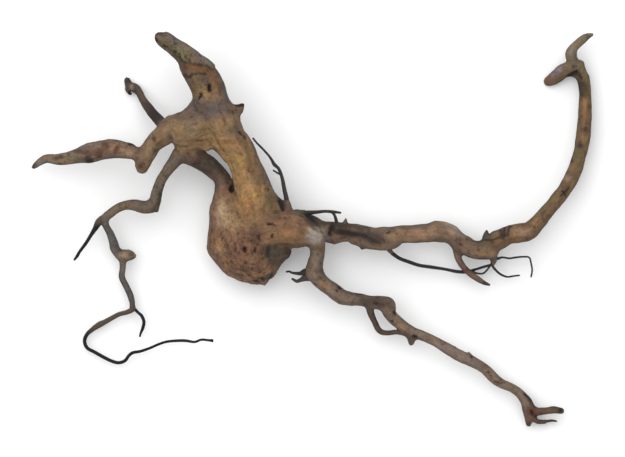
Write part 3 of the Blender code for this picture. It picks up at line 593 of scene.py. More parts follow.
ZONES = tuple(Zone(*row) for row in (
    # Horn: dark cap, mossy top, brown band, grey right side in painted shade, and orange rims
    ((163, 34.5), (8, 4), -12, (54, 43, 43), 0.9), ((158, 41), (3.4, 4.4), 90, (73, 60, 59), 0.8),
    ((178, 41), (10, 4), -35, (95, 92, 94), 0.9), ((178, 51), (18, 4.6), -33, (102, 101, 66), 0.95),
    ((202, 57), (13, 5), -40, (122, 118, 108), 0.8), ((198, 70), (16, 4.5), -10, (107, 75, 42), 0.9),
    ((184, 68), (5, 5), -60, (110, 84, 62), 0.6), ((215, 81), (3, 10), 12, (124, 88, 54), 0.8),
    ((220, 91), (1.8, 9), 12, (80, 70, 50), 0.7), ((226, 90), (4, 18), 20, (77, 77, 75), 0.8),
    ((206, 81), (6, 5), 0, (84, 65, 57), 0.7), ((194, 85), (4, 9), 12, (103, 79, 57), 0.7),
    ((215, 96), (5, 5), 0, (120, 90, 76), 0.5),
    # Mauve band under the horn, and the spur beside it
    ((208, 111), (27, 12), 0, (104, 88, 78), 0.8), ((210, 109), (20, 9), 0, (86, 75, 72), 0.9),
    ((196, 104), (6, 4), -30, (75, 67, 65), 0.6), ((192, 117), (5, 3), -20, (101, 73, 68), 0.7),
    ((226, 117), (6, 4), 20, (108, 81, 74), 0.7), ((230, 112), (3, 3), 0, (92, 78, 52), 0.7),
    ((241, 109), (3, 4), 80, (104, 80, 54), 0.7), ((243, 105), (2.5, 1.6), 20, (40, 36, 34), 0.85),
    # Arch
    ((184, 134), (20, 8), -8, (129, 108, 77), 0.75), ((194, 128), (9, 2), -10, (142, 122, 92), 0.7),
    ((163, 124), (6, 5), 40, (122, 94, 78), 0.7), ((190, 147), (16, 5), 6, (145, 116, 80), 0.75),
    # Trunk, from its top to the crotch at its foot, with painted shade down its right side and in the crotch
    ((233, 131), (10, 10), 0, (100, 84, 67), 0.75), ((236, 160), (7, 24), 14, (155, 122, 79), 0.85),
    ((252, 166), (4, 26), 17, (104, 79, 53), 0.8), ((264, 172), (5, 34), 18, (92, 80, 68), 0.8),
    ((246, 198), (9, 14), 5, (158, 119, 78), 0.8), ((248, 209), (4, 8), 0, (158, 109, 72), 0.6),
    ((268, 203), (5, 9), 10, (112, 92, 62), 0.8), ((282, 203), (4, 7), 20, (44, 36, 32), 0.85),
    # Bulb: pale top, red and purple burl, green foot, and painted shade on its right side under the knuckle
    ((222, 213), (8, 16), 0, (168, 145, 117), 0.85), ((227, 202), (2.5, 2.5), 0, (98, 76, 56), 0.8),
    ((235, 221), (9, 8), 0, (150, 121, 92), 0.7), ((253, 236), (9, 5), -20, (91, 67, 52), 0.75),
    ((243, 231), (5, 3), 0, (115, 83, 71), 0.6), ((247, 247), (13, 9), 0, (116, 83, 66), 0.8),
    ((230, 251), (5, 4), 0, (104, 77, 65), 0.6), ((217, 248), (5, 12), -10, (146, 110, 80), 0.7),
    ((225, 264), (8, 5), -45, (141, 100, 72), 0.7), ((245, 270), (14, 6), 10, (127, 94, 73), 0.7),
    ((262, 279), (10, 2.6), 25, (80, 70, 48), 0.8), ((274, 256), (9, 11), 40, (70, 60, 50), 0.85),
    ((268.5, 251), (6, 2.4), 80, (36, 30, 27), 0.85), ((256, 234), (7, 9), 0, (94, 69, 52), 0.6),
    # Knuckle, with the pale patch at its right end
    ((288, 232), (9, 6), 0, (138, 97, 66), 0.8), ((279, 217), (8, 4), 20, (118, 90, 74), 0.7),
    ((267, 216), (5, 3), 0, (108, 84, 76), 0.6), ((289, 215), (4, 3), -60, (108, 74, 62), 0.6),
    ((301, 214), (9, 4), -40, (100, 86, 64), 0.8), ((288, 243), (10, 3), 0, (102, 79, 60), 0.6),
    ((317, 235), (11, 8.4), -20, (148, 138, 128), 1.0), ((324, 238), (4, 6), 70, (136, 126, 118), 0.8),
    ((304, 233), (4, 2.4), 0, (102, 86, 58), 0.7),
    # Leg and foot
    ((316, 256), (5, 9), 0, (117, 105, 91), 0.6), ((320.5, 250), (3, 2.6), 0, (96, 82, 54), 0.8),
    ((310, 266), (3.4, 4), 0, (90, 75, 60), 0.6), ((321, 263), (2.6, 2.4), 0, (92, 74, 56), 0.7),
    ((320, 278), (3, 2.4), 0, (92, 80, 56), 0.8), ((326, 286), (6, 2.8), -35, (128, 94, 66), 0.8),
    ((376, 302), (18, 6), 0, (67, 53, 45), 0.85), ((358, 295), (3, 2), 0, (58, 58, 60), 0.7),
    ((376, 301), (4, 2.6), 0, (76, 68, 50), 0.7), ((390, 307), (4, 3), 0, (84, 69, 50), 0.6),
    ((402, 327), (6, 3), -40, (136, 104, 76), 0.8), ((440, 345), (28, 4), -27, (122, 107, 98), 0.7),
    ((480, 366), (12, 5), -40, (114, 99, 90), 0.6), ((513, 389), (3, 2.2), 0, (86, 86, 58), 0.7),
    ((534, 412), (8, 5), 0, (91, 60, 46), 0.8), ((530, 419), (3, 3), 0, (120, 84, 54), 0.7),
    ((561, 410.5), (2.8, 2.8), 0, (22, 20, 20), 0.95), ((529, 425), (2, 3), 0, (40, 34, 32), 0.8),
    # Arm, from its dark start in painted shadow under the knuckle to its warm end
    ((354, 224), (24, 4), -3, (64, 54, 43), 0.8), ((322, 218), (16, 4.5), -15, (40, 35, 29), 0.9),
    ((324, 222), (9, 3.5), -5, (78, 67, 46), 0.8), ((310.5, 218.5), (11, 5.4), -42, (28, 24, 22), 0.95),
    ((338, 226), (12, 3.6), -15, (64, 56, 41), 0.7), ((349, 233), (16, 4), -7, (50, 39, 32), 0.95),
    ((331, 229), (6, 3), 70, (30, 25, 22), 0.95), ((374, 238), (13, 6), -12, (54, 42, 37), 0.9),
    ((410, 235), (20, 6), 0, (145, 115, 88), 0.8), ((432, 230), (9, 5), 10, (133, 108, 86), 0.7),
    ((385, 224), (40, 3), -2, (92, 82, 72), 0.7), ((452, 228), (12, 5), -40, (154, 138, 124), 0.7),
    ((462, 243), (6, 3), -30, (98, 78, 62), 0.6), ((484, 252), (16, 4), 0, (130, 104, 76), 0.7),
    # Collar, with painted shade at its root, and neck
    ((504, 233), (4, 5), 0, (54, 44, 39), 0.6), ((520, 234), (14, 5), 15, (145, 115, 90), 0.8),
    ((511, 240), (7, 2.5), 20, (132, 94, 62), 0.7), ((519, 230), (6, 3), 15, (131, 112, 101), 0.6),
    ((536, 221), (5, 3), 30, (140, 102, 69), 0.7), ((544, 213), (5, 2.4), 45, (72, 54, 43), 0.7),
    ((586, 101), (9, 3.6), 85, (136, 107, 67), 0.95), ((585, 115), (5, 3.4), 85, (126, 98, 63), 0.9),
    ((585, 138), (5, 3.4), 75, (130, 102, 62), 0.9), ((586, 129), (4.4, 3.4), 0, (82, 56, 44), 0.95),
    ((581, 145), (3.4, 4.6), 10, (66, 50, 40), 0.9), ((577, 155), (6, 4), 65, (86, 76, 52), 0.8),
    ((573, 170), (5, 4), 60, (112, 86, 64), 0.6), ((568, 178), (5, 3.6), 0, (130, 106, 90), 0.85),
    ((565, 192), (6, 3), 45, (82, 62, 52), 0.6), ((583, 86), (12, 5.5), 108, (44, 38, 30), 0.85),
    # Head, with painted shadow under it, and its small horn
    ((558, 71), (8, 3.5), 35, (112, 111, 119), 0.8), ((551, 80), (5, 4), 20, (100, 76, 64), 0.8),
    ((565, 68), (3, 2), 30, (104, 76, 62), 0.6), ((571, 69), (3, 2), 0, (94, 86, 60), 0.6),
    ((576, 73), (6, 3), 0, (36, 30, 26), 0.85), ((573, 51), (6, 3), 90, (123, 109, 97), 0.7),
    ((589, 35.5), (4, 1.8), 15, (70, 64, 60), 0.7),
    # Left horn: red-brown blotches, grey and olive end
    ((118, 149), (15, 4), -10, (143, 116, 88), 0.8), ((96, 151), (13, 4.4), 5, (100, 74, 62), 0.9),
    ((88, 146.5), (22, 1.8), 12, (92, 88, 84), 0.7), ((72, 157.5), (8, 3.4), 10, (104, 98, 76), 0.85),
    ((44, 163), (8, 3), 15, (87, 97, 98), 0.8), ((33, 166), (4, 2.4), 30, (44, 42, 42), 0.9),
    ((117, 148.6), (5.4, 3), 60, (80, 50, 37), 0.95), ((106, 145.6), (5, 3.4), 0, (84, 54, 40), 0.95),
    ((98, 154.4), (4.6, 3.6), 0, (86, 56, 44), 0.95), ((86, 152), (4.2, 2.6), 0, (82, 56, 46), 0.9),
    ((88, 158.6), (5.6, 3.2), 0, (52, 40, 40), 0.95), ((90.5, 161), (4, 1.4), 0, (40, 36, 36), 0.8),
    ((77, 151.4), (5, 2.2), 0, (86, 60, 48), 0.9), ((60.6, 156.6), (4.4, 2), 0, (48, 40, 40), 0.9),
    ((131, 144.4), (2.6, 1.6), -20, (44, 34, 30), 0.85), ((61, 164), (4, 1.4), 0, (52, 46, 44), 0.7),
    ((134, 146), (5, 1.5), -25, (82, 61, 46), 0.6),
    # Knee, where the left horn leaves the arch
    ((147, 153), (7, 5), 60, (128, 104, 80), 0.6), ((154, 139), (2.8, 3), 0, (58, 43, 36), 0.9),
    ((147, 138), (5, 1.8), 55, (66, 54, 48), 0.7), ((139, 150), (5, 2), 60, (88, 64, 50), 0.7),
    ((155, 150), (3, 2.4), 0, (92, 84, 60), 0.7), ((141, 165), (5, 3), 60, (88, 66, 56), 0.8),
    # Crooked limb and its elbow, with painted shade on the right side, and the strap, in painted shade under
    # the arch
    ((163, 170), (12, 3), 60, (104, 82, 63), 0.6), ((124, 206), (14, 2.4), 10, (106, 82, 62), 0.6),
    ((160, 198), (4, 11), 12, (68, 66, 60), 0.75), ((154, 209), (3, 3), 0, (66, 60, 50), 0.7),
    ((203, 168), (10, 8), -45, (62, 51, 44), 0.6), ((212, 163), (9, 5), -42, (80, 77, 66), 0.8),
    ((194, 162), (6, 4), -20, (84, 62, 56), 0.7), ((221, 188), (6, 4), 20, (116, 88, 78), 0.7),
    # Back branch: its black-brown root under the arch is dark wood and painted shade
    ((154, 114), (11, 7), -55, (40, 31, 29), 0.95), ((143, 97), (8, 2.2), -55, (96, 73, 60), 0.7),
    ((130.5, 86.5), (2.2, 3.6), 10, (128, 110, 92), 0.9), ((128, 78.5), (2.6, 1.6), 0, (34, 32, 34), 0.8),
    ((130, 92), (1.8, 2.4), 0, (38, 36, 38), 0.8),
    # Stem, fork and twigs
    ((122, 255), (3.4, 3), 0, (136, 116, 96), 0.7), ((126, 272), (4, 14), -12, (104, 92, 78), 0.6),
    ((130, 260), (5, 1.8), 30, (58, 52, 46), 0.8), ((131, 255), (2.4, 3), 0, (74, 68, 54), 0.7),
    ((101, 221), (4, 4), 0, (88, 78, 66), 0.6), ((131, 309), (3, 3), 0, (48, 42, 40), 0.7),
    ((466, 271), (3, 3), 0, (84, 54, 46), 0.7), ((489, 283), (4, 3), -40, (56, 46, 44), 0.8),
))

MARKS = tuple(Mark(*row) for row in (
    (((210, 86.4), (210.4, 91)), 1.4, 2.4, 0.95), (((201.5, 94.8), (200.9, 96.8)), 1.4, 1.6, 0.85),
    (((165, 46), (166, 47.4)), 0.9, 0.5, 0.8), (((168, 46.8), (169, 47.8)), 0.8, 0.5, 0.7),
    (((175.4, 51.8), (177, 53)), 0.8, 0.5, 0.7), (((180, 54.6), (181.4, 57)), 0.8, 0.6, 0.7),
    (((186, 57), (187.6, 59.6)), 0.8, 0.6, 0.65), (((190.6, 60.4), (191, 63)), 0.8, 0.6, 0.65),
    (((199.6, 97.6), (199.2, 99.4)), 0.7, 0.8, 0.8),
    (((186, 76), (189.4, 78.4), (192.6, 75), (199.6, 74.2), (206.4, 74.8)), 0.9, 0.7, 0.45),
    (((178.6, 56.6), (184.3, 62.3), (192.9, 64.4), (207, 66.6), (214, 70)), 1.1, 0.5, 0.4),
    (((156.4, 39.6), (157, 41.6)), 0.8, 1.0, 0.95), (((203, 55.6), (204.4, 57.2)), 0.7, 0.4, 0.6),
    (((235.6, 105.8), (239, 106.2), (243, 105.2)), 0.7, 0.5, 0.85),
    (((240, 132.4), (242, 134)), 1.0, 0.8, 0.85), (((244, 135), (246, 138)), 0.7, 0.5, 0.7),
    (((129.4, 143.6), (131.6, 144.4)), 0.8, 0.6, 0.9), (((154.6, 139.2), (155.4, 141.2)), 1.0, 0.4, 0.6),
    (((198, 140.6), (203, 140.4)), 0.7, 0.3, 0.4), (((232.6, 186), (231.4, 189.4)), 1.5, 2.2, 0.95),
    # painted shade in the crotch at the trunk's foot, first of this line
    (((280, 201), (281.6, 205), (282.6, 209)), 1.3, 1.6, 0.9),
    (((268.4, 224.2), (270.4, 223.4), (272.6, 223.8)), 0.8, 0.9, 0.9),
    (((272.4, 224), (276.6, 225.8)), 0.5, 0.4, 0.6), (((272.4, 234.4), (272, 237.4)), 0.7, 0.9, 0.85),
    (((245.4, 248.4), (245.2, 250.6)), 0.9, 1.5, 0.95), (((255.4, 248.4), (255, 251.6)), 0.8, 1.2, 0.8),
    (((236, 248), (235.4, 250.6)), 0.7, 0.8, 0.6), (((258, 236), (259.2, 239.4)), 0.9, 0.8, 0.6),
    (((251.4, 240), (252, 242.4)), 0.7, 0.7, 0.55), (((256, 281.6), (258, 281.8)), 0.9, 0.8, 0.9),
    (((262, 278.6), (263, 279.6)), 0.8, 0.7, 0.7), (((269.6, 278), (272.6, 275)), 1.0, 0.7, 0.85),
    (((332, 226), (331.4, 229), (329.6, 233)), 1.6, 1.4, 0.8),
    (((334, 231), (344, 232.4), (356, 234), (364, 235.6)), 2.4, 1.5, 0.5),
    (((364.6, 234.4), (366.4, 235.8)), 0.9, 0.9, 0.9),
    (((368, 238), (374, 240.6), (379, 242.6)), 1.0, 0.6, 0.4),
    (((386.6, 233.6), (389.4, 231.8)), 0.7, 0.4, 0.7), (((388, 231.4), (390, 233.6)), 0.5, 0.3, 0.6),
    (((460.6, 244.2), (461.6, 244.8)), 0.9, 0.7, 0.75), (((478, 250), (479, 250.4)), 0.7, 0.5, 0.5),
    (((484, 240), (492, 239.6), (499, 237.6), (503, 235)), 0.7, 0.7, 0.6),
    (((508.6, 225), (505.4, 227.6), (504.4, 231), (505.2, 234.6), (503, 238.6)), 0.6, 0.9, 0.75),
    (((512, 225.6), (509.4, 228), (508.4, 231.6), (508.8, 235)), 0.6, 0.9, 0.7),
    (((500, 231), (502, 234), (501.6, 238)), 0.8, 0.6, 0.6),
    (((570, 187.4), (564.8, 191.6), (560.8, 196)), 0.5, 0.8, 0.85),
    (((562.4, 190.2), (565.4, 193.4), (566.4, 196)), 0.6, 0.9, 0.9),
    (((573, 159), (572.8, 161)), 0.7, 0.3, 0.6), (((581.6, 140), (580.6, 145)), 0.6, 0.3, 0.4),
    # the next two marks are painted shadow under the head, where it leaves the neck
    (((569.6, 75), (574, 72.6), (578, 70.6)), 1.2, 1.3, 0.95), (((580, 74), (582.4, 78)), 0.9, 0.5, 0.7),
    (((338.4, 287.4), (339.6, 288.6)), 0.8, 0.8, 0.9), (((336.6, 290), (337.2, 290.8)), 0.8, 0.5, 0.7),
    (((300, 273), (300.8, 274.4)), 0.8, 0.5, 0.8), (((374, 302), (377, 303.4)), 0.9, 0.4, 0.5),
    (((394, 311.4), (395.4, 314)), 0.9, 0.9, 0.9), (((391.6, 321), (392.6, 321.6)), 0.8, 0.6, 0.8),
    (((414, 336), (416.4, 337.2)), 1.0, 1.1, 0.95), (((471, 357), (472.2, 357.6)), 0.8, 0.4, 0.7),
    (((488.4, 372), (489.4, 372.6)), 0.8, 0.5, 0.75), (((491, 375.8), (492, 376.6)), 0.9, 0.5, 0.65),
    (((495, 381.6), (500, 383.4), (505, 383.2)), 0.6, 0.4, 0.55),
    # painted shade along the foot's dark right edge
    (((526, 394), (531, 400), (536.4, 406)), 1.5, 0.5, 0.85),
    (((532.4, 411.6), (532.8, 413.8)), 1.1, 1.0, 0.95), (((536.4, 416.6), (538, 417.6)), 0.8, 0.6, 0.8),
    (((87.6, 161), (92, 160.8)), 0.9, 0.4, 0.8), (((68, 154.4), (69.2, 154)), 0.8, 0.3, 0.6),
))

SHELVES = (
    Shelf(((157, 36), (170, 32), (184, 40), (196, 48), (207, 56), (214, 65), (216, 71), (207, 66.6),
           (193, 64.4), (184.3, 62.3), (178.6, 56.6), (168, 48), (161, 44)), 0.9, (114, 106, 90), 0.25),
    Shelf(((333, 239), (345, 238.4), (358, 240.6), (360, 245), (358, 249), (345, 247.5), (333, 246)),
          0.7, (108, 88, 71), 0.7),
    Shelf(((499, 229), (506, 225), (512, 224), (509, 229), (507.6, 236), (503.4, 241), (501, 235)),
          0.7, (84, 69, 60), 0.5),
)

# How much grittier the limbs' wood is than the rest, or smoother where under 0
GRIT = {
    "horn": 0.28, "left_horn": 0.15, "back_branch": 0.6, "stem": 0.5, "leg": 0.25, "arm": -0.35,
    "arch": -0.2,
}


@dataclass
class Nearness:
    """How each point of the skin lies to the limbs it grew from.

    Attributes:
        local: (2, n, 3) distance along, across and up, for the nearest limb and the next.
        share: n shares of the next limb's grain, 0 to 0.5, and 0 where a third limb is as near.
        crowding: n values of 0 to 0.5, 0.5 where the next limb is as near as the nearest.
        weights: (limbs, n) shares of all limbs, which sum to 1.
        thick: n radii of the limbs there, in mm, by their shares.
        slim: n radii of the slimmer of the two nearest limbs, in mm.
    """

    local: Array
    share: Array
    crowding: Array
    weights: Array
    thick: Array
    slim: Array

    FAR, FAR_THICK = 60.0, 8.0  # mm, gap and radius of a limb that is too far to be measured
    MARGIN = 14.0  # mm, how far beyond its box a limb is measured
    STEP, SPREAD = 2.0, 2.0  # mm, between middle line samples, and of the weights' fall
    BATCH = 4000  # points at a time
    OWN_GRAIN = 97.0  # mm, shift of the grain from limb to limb

    @classmethod
    def of(cls, points: Array, limbs: Sequence[Limb]) -> "Nearness":
        """Measures the points against the limbs.

        A point's gap to a limb is its distance from the nearest sample of the middle line, less the radius
        there. Limb l has the weight exp(-(gap_l - least gap) / 2 mm), and the weights are divided by their
        sum. With e2 and e3 = exp(-(gap - least gap) / (1.6 + 0.12 slim)) of the next two limbs, the share
        is (e2 - e3) / (1 + e2 - 2 e3) and the crowding e2 / (1 + e2).

        Args:
            points: (n, 3) places in mm.
            limbs: the limbs.

        Returns:
            The measures.
        """
        gap = np.full((len(limbs), len(points)), cls.FAR)
        thick = np.full((len(limbs), len(points)), cls.FAR_THICK)
        local = np.zeros((len(limbs), len(points), 3), np.float32)
        for row, limb in enumerate(limbs):
            centre, radius, along, ahead, side, up = limb.centres(cls.STEP)
            widest = radius.max() + cls.MARGIN
            inside = ((points > centre.min(0) - widest) & (points < centre.max(0) + widest)).all(axis=1)
            chosen = np.flatnonzero(inside)
            for part in np.array_split(chosen, max(1, len(chosen) // cls.BATCH)):
                if not len(part):
                    continue
                offset = points[part][:, None] - centre
                away = np.linalg.norm(offset / [1.0, 1.0, limb.flatness], axis=2) - radius
                best = away.argmin(axis=1)
                offset = offset[np.arange(len(part)), best]
                gap[row, part] = away[np.arange(len(part)), best]
                thick[row, part] = radius[best]
                local[row, part, 0] = along[best] + (offset * ahead[best]).sum(1)
                local[row, part, 1] = (offset * side[best]).sum(1)
                local[row, part, 2] = (offset * up[best]).sum(1)
        order = np.argsort(gap, axis=0)[:3]
        everyone = np.arange(len(points))
        slim = thick[order[:2], everyone].min(axis=0)
        weights = np.exp(-(gap - gap[order[0], everyone]) / cls.SPREAD)
        farther = gap[order[1:], everyone] - gap[order[0], everyone]
        second, third = np.exp(-farther / (1.6 + 0.12 * slim))
        share = (second - third) / (1.0 + second - 2.0 * third + 1e-6)
        weights /= weights.sum(axis=0)
        local[..., 0] += cls.OWN_GRAIN * np.arange(len(limbs))[:, None]
        crowding = second / (1.0 + second)
        thickness = (weights * thick).sum(axis=0)
        return cls(local[order[:2], everyone], share, crowding, weights, thickness, slim)


class Layer(Enum):
    """What a stored attribute holds: its kind and the name of its data."""

    NUMBER = ("FLOAT", "value")
    VECTOR = ("FLOAT_VECTOR", "vector")
    COLOUR = ("FLOAT_COLOR", "color")


def store(mesh: Any, name: str, layer: Layer, values: Array) -> None:
    """Stores values on a mesh's points under a name that the material reads.

    Args:
        mesh: the mesh.
        name: the attribute's name.
        layer: what it holds. Colours are given without their alpha.
        values: a value, vector or colour for each point.
    """
    if layer is Layer.COLOUR:
        values = np.concatenate([values, np.ones((len(values), 1))], axis=1)
    kind, slot = layer.value
    made = mesh.attributes.new(name, kind, "POINT")
    made.data.foreach_set(slot, np.ascontiguousarray(values, np.float32).ravel())


class Skin:
    """The fused wood: its points, edges and the relief and colours worked into them."""

    CELL = 1.05  # mm, size of a voxel of the fused skin
    SIDES = 28
    STEP = 1.6

    def __init__(self, limbs: Sequence[Limb]) -> None:
        """Keeps the limbs that the skin is made of."""
        self.limbs = limbs
        self.mesh: Any = None
        self.points: Array = np.zeros((0, 3))
        self.edges: Array = np.zeros((0, 2), int)
        self.degree: Array = np.zeros(0)

    def fuse(self) -> None:
        """Sweeps every limb and joins the tubes into one closed skin of small cells."""
        points, faces, count = [], [], 0
        for seed, limb in enumerate(self.limbs):
            spots, quads = limb.surface(self.STEP, self.SIDES, seed)
            points.append(spots)
            faces.extend([[corner + count for corner in face] for face in quads])
            count += len(spots)
        mesh = bpy.data.meshes.new("limbs")
        mesh.from_pydata((np.concatenate(points) * MM).tolist(), [], faces)
        shape = bpy.data.objects.new("limbs", mesh)
        bpy.context.scene.collection.objects.link(shape)
        remesh = shape.modifiers.new("fuse", "REMESH")
        remesh.mode = "VOXEL"
        remesh.voxel_size = self.CELL * MM
        graph = bpy.context.evaluated_depsgraph_get()
        self.mesh = bpy.data.meshes.new_from_object(shape.evaluated_get(graph))
        bpy.data.objects.remove(shape, do_unlink=True)
        self.points = np.empty(len(self.mesh.vertices) * 3, np.float32)
        self.mesh.vertices.foreach_get("co", self.points)
        self.points = self.points.reshape(-1, 3).astype(float) / MM
        self.edges = np.empty(len(self.mesh.edges) * 2, np.int32)
        self.mesh.edges.foreach_get("vertices", self.edges)
        self.edges = self.edges.reshape(-1, 2)
        self.degree = np.bincount(self.edges.ravel(), minlength=len(self.points)).astype(float)

    def mean(self, values: Array) -> Array:
        """Mean of each point's neighbours: the sum over its edges divided by their number.

        Args:
            values: a value or vector for each point.

        Returns:
            The means, in the same shape.
        """
        a, b = self.edges[:, 0], self.edges[:, 1]
        n = len(self.points)
        columns = values.reshape(n, -1)
        total = np.stack([
            np.bincount(a, columns[b, k], n) + np.bincount(b, columns[a, k], n)
            for k in range(columns.shape[1])
        ], axis=1)
        return (total / self.degree[:, None]).reshape(values.shape)

    def even_out(self, rounds: int) -> None:
        """Takes out the cells' steps and keeps the volume: p + 0.5 (mean - p), then p - 0.52 (mean - p).

        Args:
            rounds: how often.
        """
        for _ in range(rounds):
            self.points += 0.5 * (self.mean(self.points) - self.points)
            self.points -= 0.52 * (self.mean(self.points) - self.points)

    def fill_crotches(self, near: Nearness, rounds: int) -> None:
        """Rounds off where stout limbs meet: p + w (mean - p), w being up to 0.6 by the crowding.

        Args:
            near: how the points lie to the limbs.
            rounds: how often.
        """
        weight = (smooth(0.02, 0.36, near.crowding) * smooth(1.0, 9.0, near.slim))[:, None]
        for _ in range(rounds):
            self.points += 0.6 * weight * (self.mean(self.points) - self.points)

    def normals(self) -> Array:
        """Outward directions at the points, from the mesh.

        Returns:
            (n, 3) unit vectors.
        """
        self.write_points()
        found = np.empty(len(self.points) * 3, np.float32)
        self.mesh.vertex_normals.foreach_get("vector", found)
        return found.reshape(-1, 3).astype(float)

    def write_points(self) -> None:
        """Puts the points into the mesh, in metres."""
        self.mesh.vertices.foreach_set("co", (self.points * MM).astype(np.float32).ravel())
        self.mesh.update()


class Carver:
    """Works relief, hollows and colours into the fused skin."""

    FLUTE, RIDGE, LUMP = 0.08, 0.035, 0.12  # heights as shares of the limb's radius
    RADII = (1.5, 15.0)  # mm, the relief stops growing with the radius outside these
    RIDGE_LIMIT, LUMP_LIMIT = 0.3, 1.1  # mm
    FLUTE_PITCH, RIDGE_PITCH = (60.0, 6.5, 6.5), (22.0, 2.4, 2.4)  # mm along, across and up
    LUMP_PITCH, WART_PITCH, PIT_PITCH = 9.5, (5.0, 7.5, 5.0), (2.8, 4.6, 2.8)  # mm in x, y and z
    WART, PIT = 1.5, 1.3  # mm, on the burl
    BURL_EDGE, BURL_WANDER, BURL_PITCH = (12.0, -14.0), 7.0, 20.0  # mm of y, where the burl roughens
    BROAD_RIPPLE, FINE_RIPPLE = 8.0, 2.6  # mm, pitches of the noises that patches and marks end in
    NO_MARK = 4.0  # half widths, farther than any mark shows
    FLOOR_FADE = 5.0  # mm of height, over which the relief fades in
    RIM_GREY, RIM_SHADE, SLOPE_SHADE = 0.5, 0.34, 0.24  # how grey and dark the painted shade makes the steep sides
    GREY, TOP_SHADE = (92, 90, 88), 1.06  # the grey of the painted shade on steep sides, and the painted light on level wood
    LAYER_ROUGHNESS = 0.7  # of the horn's worn layer, where the burl has 1
    CAVITY_ROUNDS = 7  # rounds of averaging
    FINE_CAVITY, BROAD_CAVITY = 6.0, 14.0  # cavity for each mm of depth

    def __init__(self, skin: Skin, near: Nearness) -> None:
        """Keeps the skin and how it lies to its limbs."""
        self.skin = skin
        self.near = near
        self.names = [limb.name for limb in skin.limbs]
        points = skin.points
        self.ripple = np.stack([
            fractal(points / self.BROAD_RIPPLE, 3, 16), fractal(points / self.FINE_RIPPLE, 2, 17),
        ])
        edge = points[:, 1] + self.BURL_WANDER * fractal(points / self.BURL_PITCH, 2, 5)
        self.rough = self.weight("bulb") * smooth(*self.BURL_EDGE, edge)
        self.reach = np.full(len(points), self.NO_MARK)
        self.shade = np.zeros(len(points))
        self.shelf = np.zeros((len(SHELVES), len(points)))

    def weight(self, *names: str) -> Array:
        """Share of the named limbs at each point."""
        return sum(self.near.weights[self.names.index(name)] for name in names)

    def grain(self, scale: Sequence[float], octaves: int, seed: int) -> Array:
        """Noise that runs along the limbs: n(along / a, across / b, up / c), blended from the two nearest."""
        a, b = (fractal(self.near.local[k] / np.array(scale), octaves, seed) for k in range(2))
        return a + self.near.share * (b - a)

    def carve(self) -> None:
        """Adds flutes, fibre ridges, lumps, the burl's warts and pits, the shelves' steps and every mark.

        All are heights along the normal and fade out over the lowest 5 mm. Flutes, ridges and lumps grow
        with the limb's radius. The burl's warts are a noise of 5 to 7.5 mm pitch, its pits are where a
        finer noise is high, and both are on its upper side. A shelf rises over 1 mm at its edge. A mark
        sinks by its depth at its line and ends 1.4 half widths from it.
        """
        skin, near = self.skin, self.near
        points, normal = skin.points, skin.normals()
        thick = np.clip(near.thick, *self.RADII)
        lift = self.grain(self.FLUTE_PITCH, 2, 11) * self.FLUTE * thick
        ridge = 1.0 - 2.0 * np.abs(self.grain(self.RIDGE_PITCH, 2, 12))
        lift += ridge * np.clip(self.RIDGE * thick, 0.0, self.RIDGE_LIMIT)
        lift += fractal(points / self.LUMP_PITCH, 2, 13) * np.clip(self.LUMP * thick, 0.0, self.LUMP_LIMIT)
        warts = fractal(points / self.WART_PITCH, 3, 14)
        pits = smooth(0.34, 0.62, fractal(points / self.PIT_PITCH, 2, 15))
        lift += self.rough * (self.WART * warts - self.PIT * pits) * smooth(-0.1, 0.5, normal[:, 2])
        upward = smooth(-0.1, 0.35, normal[:, 2])
        for row, shelf in enumerate(SHELVES):
            self.shelf[row] = smooth(-0.5, 0.5, shelf.inside(points, self.ripple)) * upward
            lift += self.shelf[row] * shelf.lift
        for mark in MARKS:
            reach = mark.reach(points, self.ripple) + self.NO_MARK * (1.0 - upward)
            lift -= smooth(1.4, 0.2, reach) * mark.depth
            self.shade = np.where(reach < self.reach, mark.shade, self.shade)
            self.reach = np.minimum(self.reach, reach)
        above = smooth(0.0, self.FLOOR_FADE, points[:, 2])
        skin.points = points + normal * (lift * above)[:, None]
        skin.points[:, 2] = np.maximum(skin.points[:, 2], 0.0)

    def colour(self) -> None:
        """Works out the wood's colour at every point and stores what the material reads.

        The limbs' tones are mixed by their weights, then the zones and shelves are laid over them in turn.
        Painted shade turns steep sides greyer and darker, and painted light makes level tops a little
        brighter.
        The cavity is how far a point lies under the mean of its neighbours, averaged over a few rounds. The
        roughness is the burl's, or the horn's worn layer's if that is more, plus the limbs' grit.
        """
        skin, near = self.skin, self.near
        points = skin.points
        tones = np.array([wood(*limb.tone) for limb in skin.limbs])
        tone = near.weights.T @ tones
        for zone in ZONES:
            cover = zone.cover(points, self.ripple)[:, None]
            tone = tone + cover * (wood(*zone.tone) - tone)
        for shelf, inside in zip(SHELVES, self.shelf):
            tone = tone + (shelf.share * inside)[:, None] * (wood(*shelf.tone) - tone)
        normal = skin.normals()
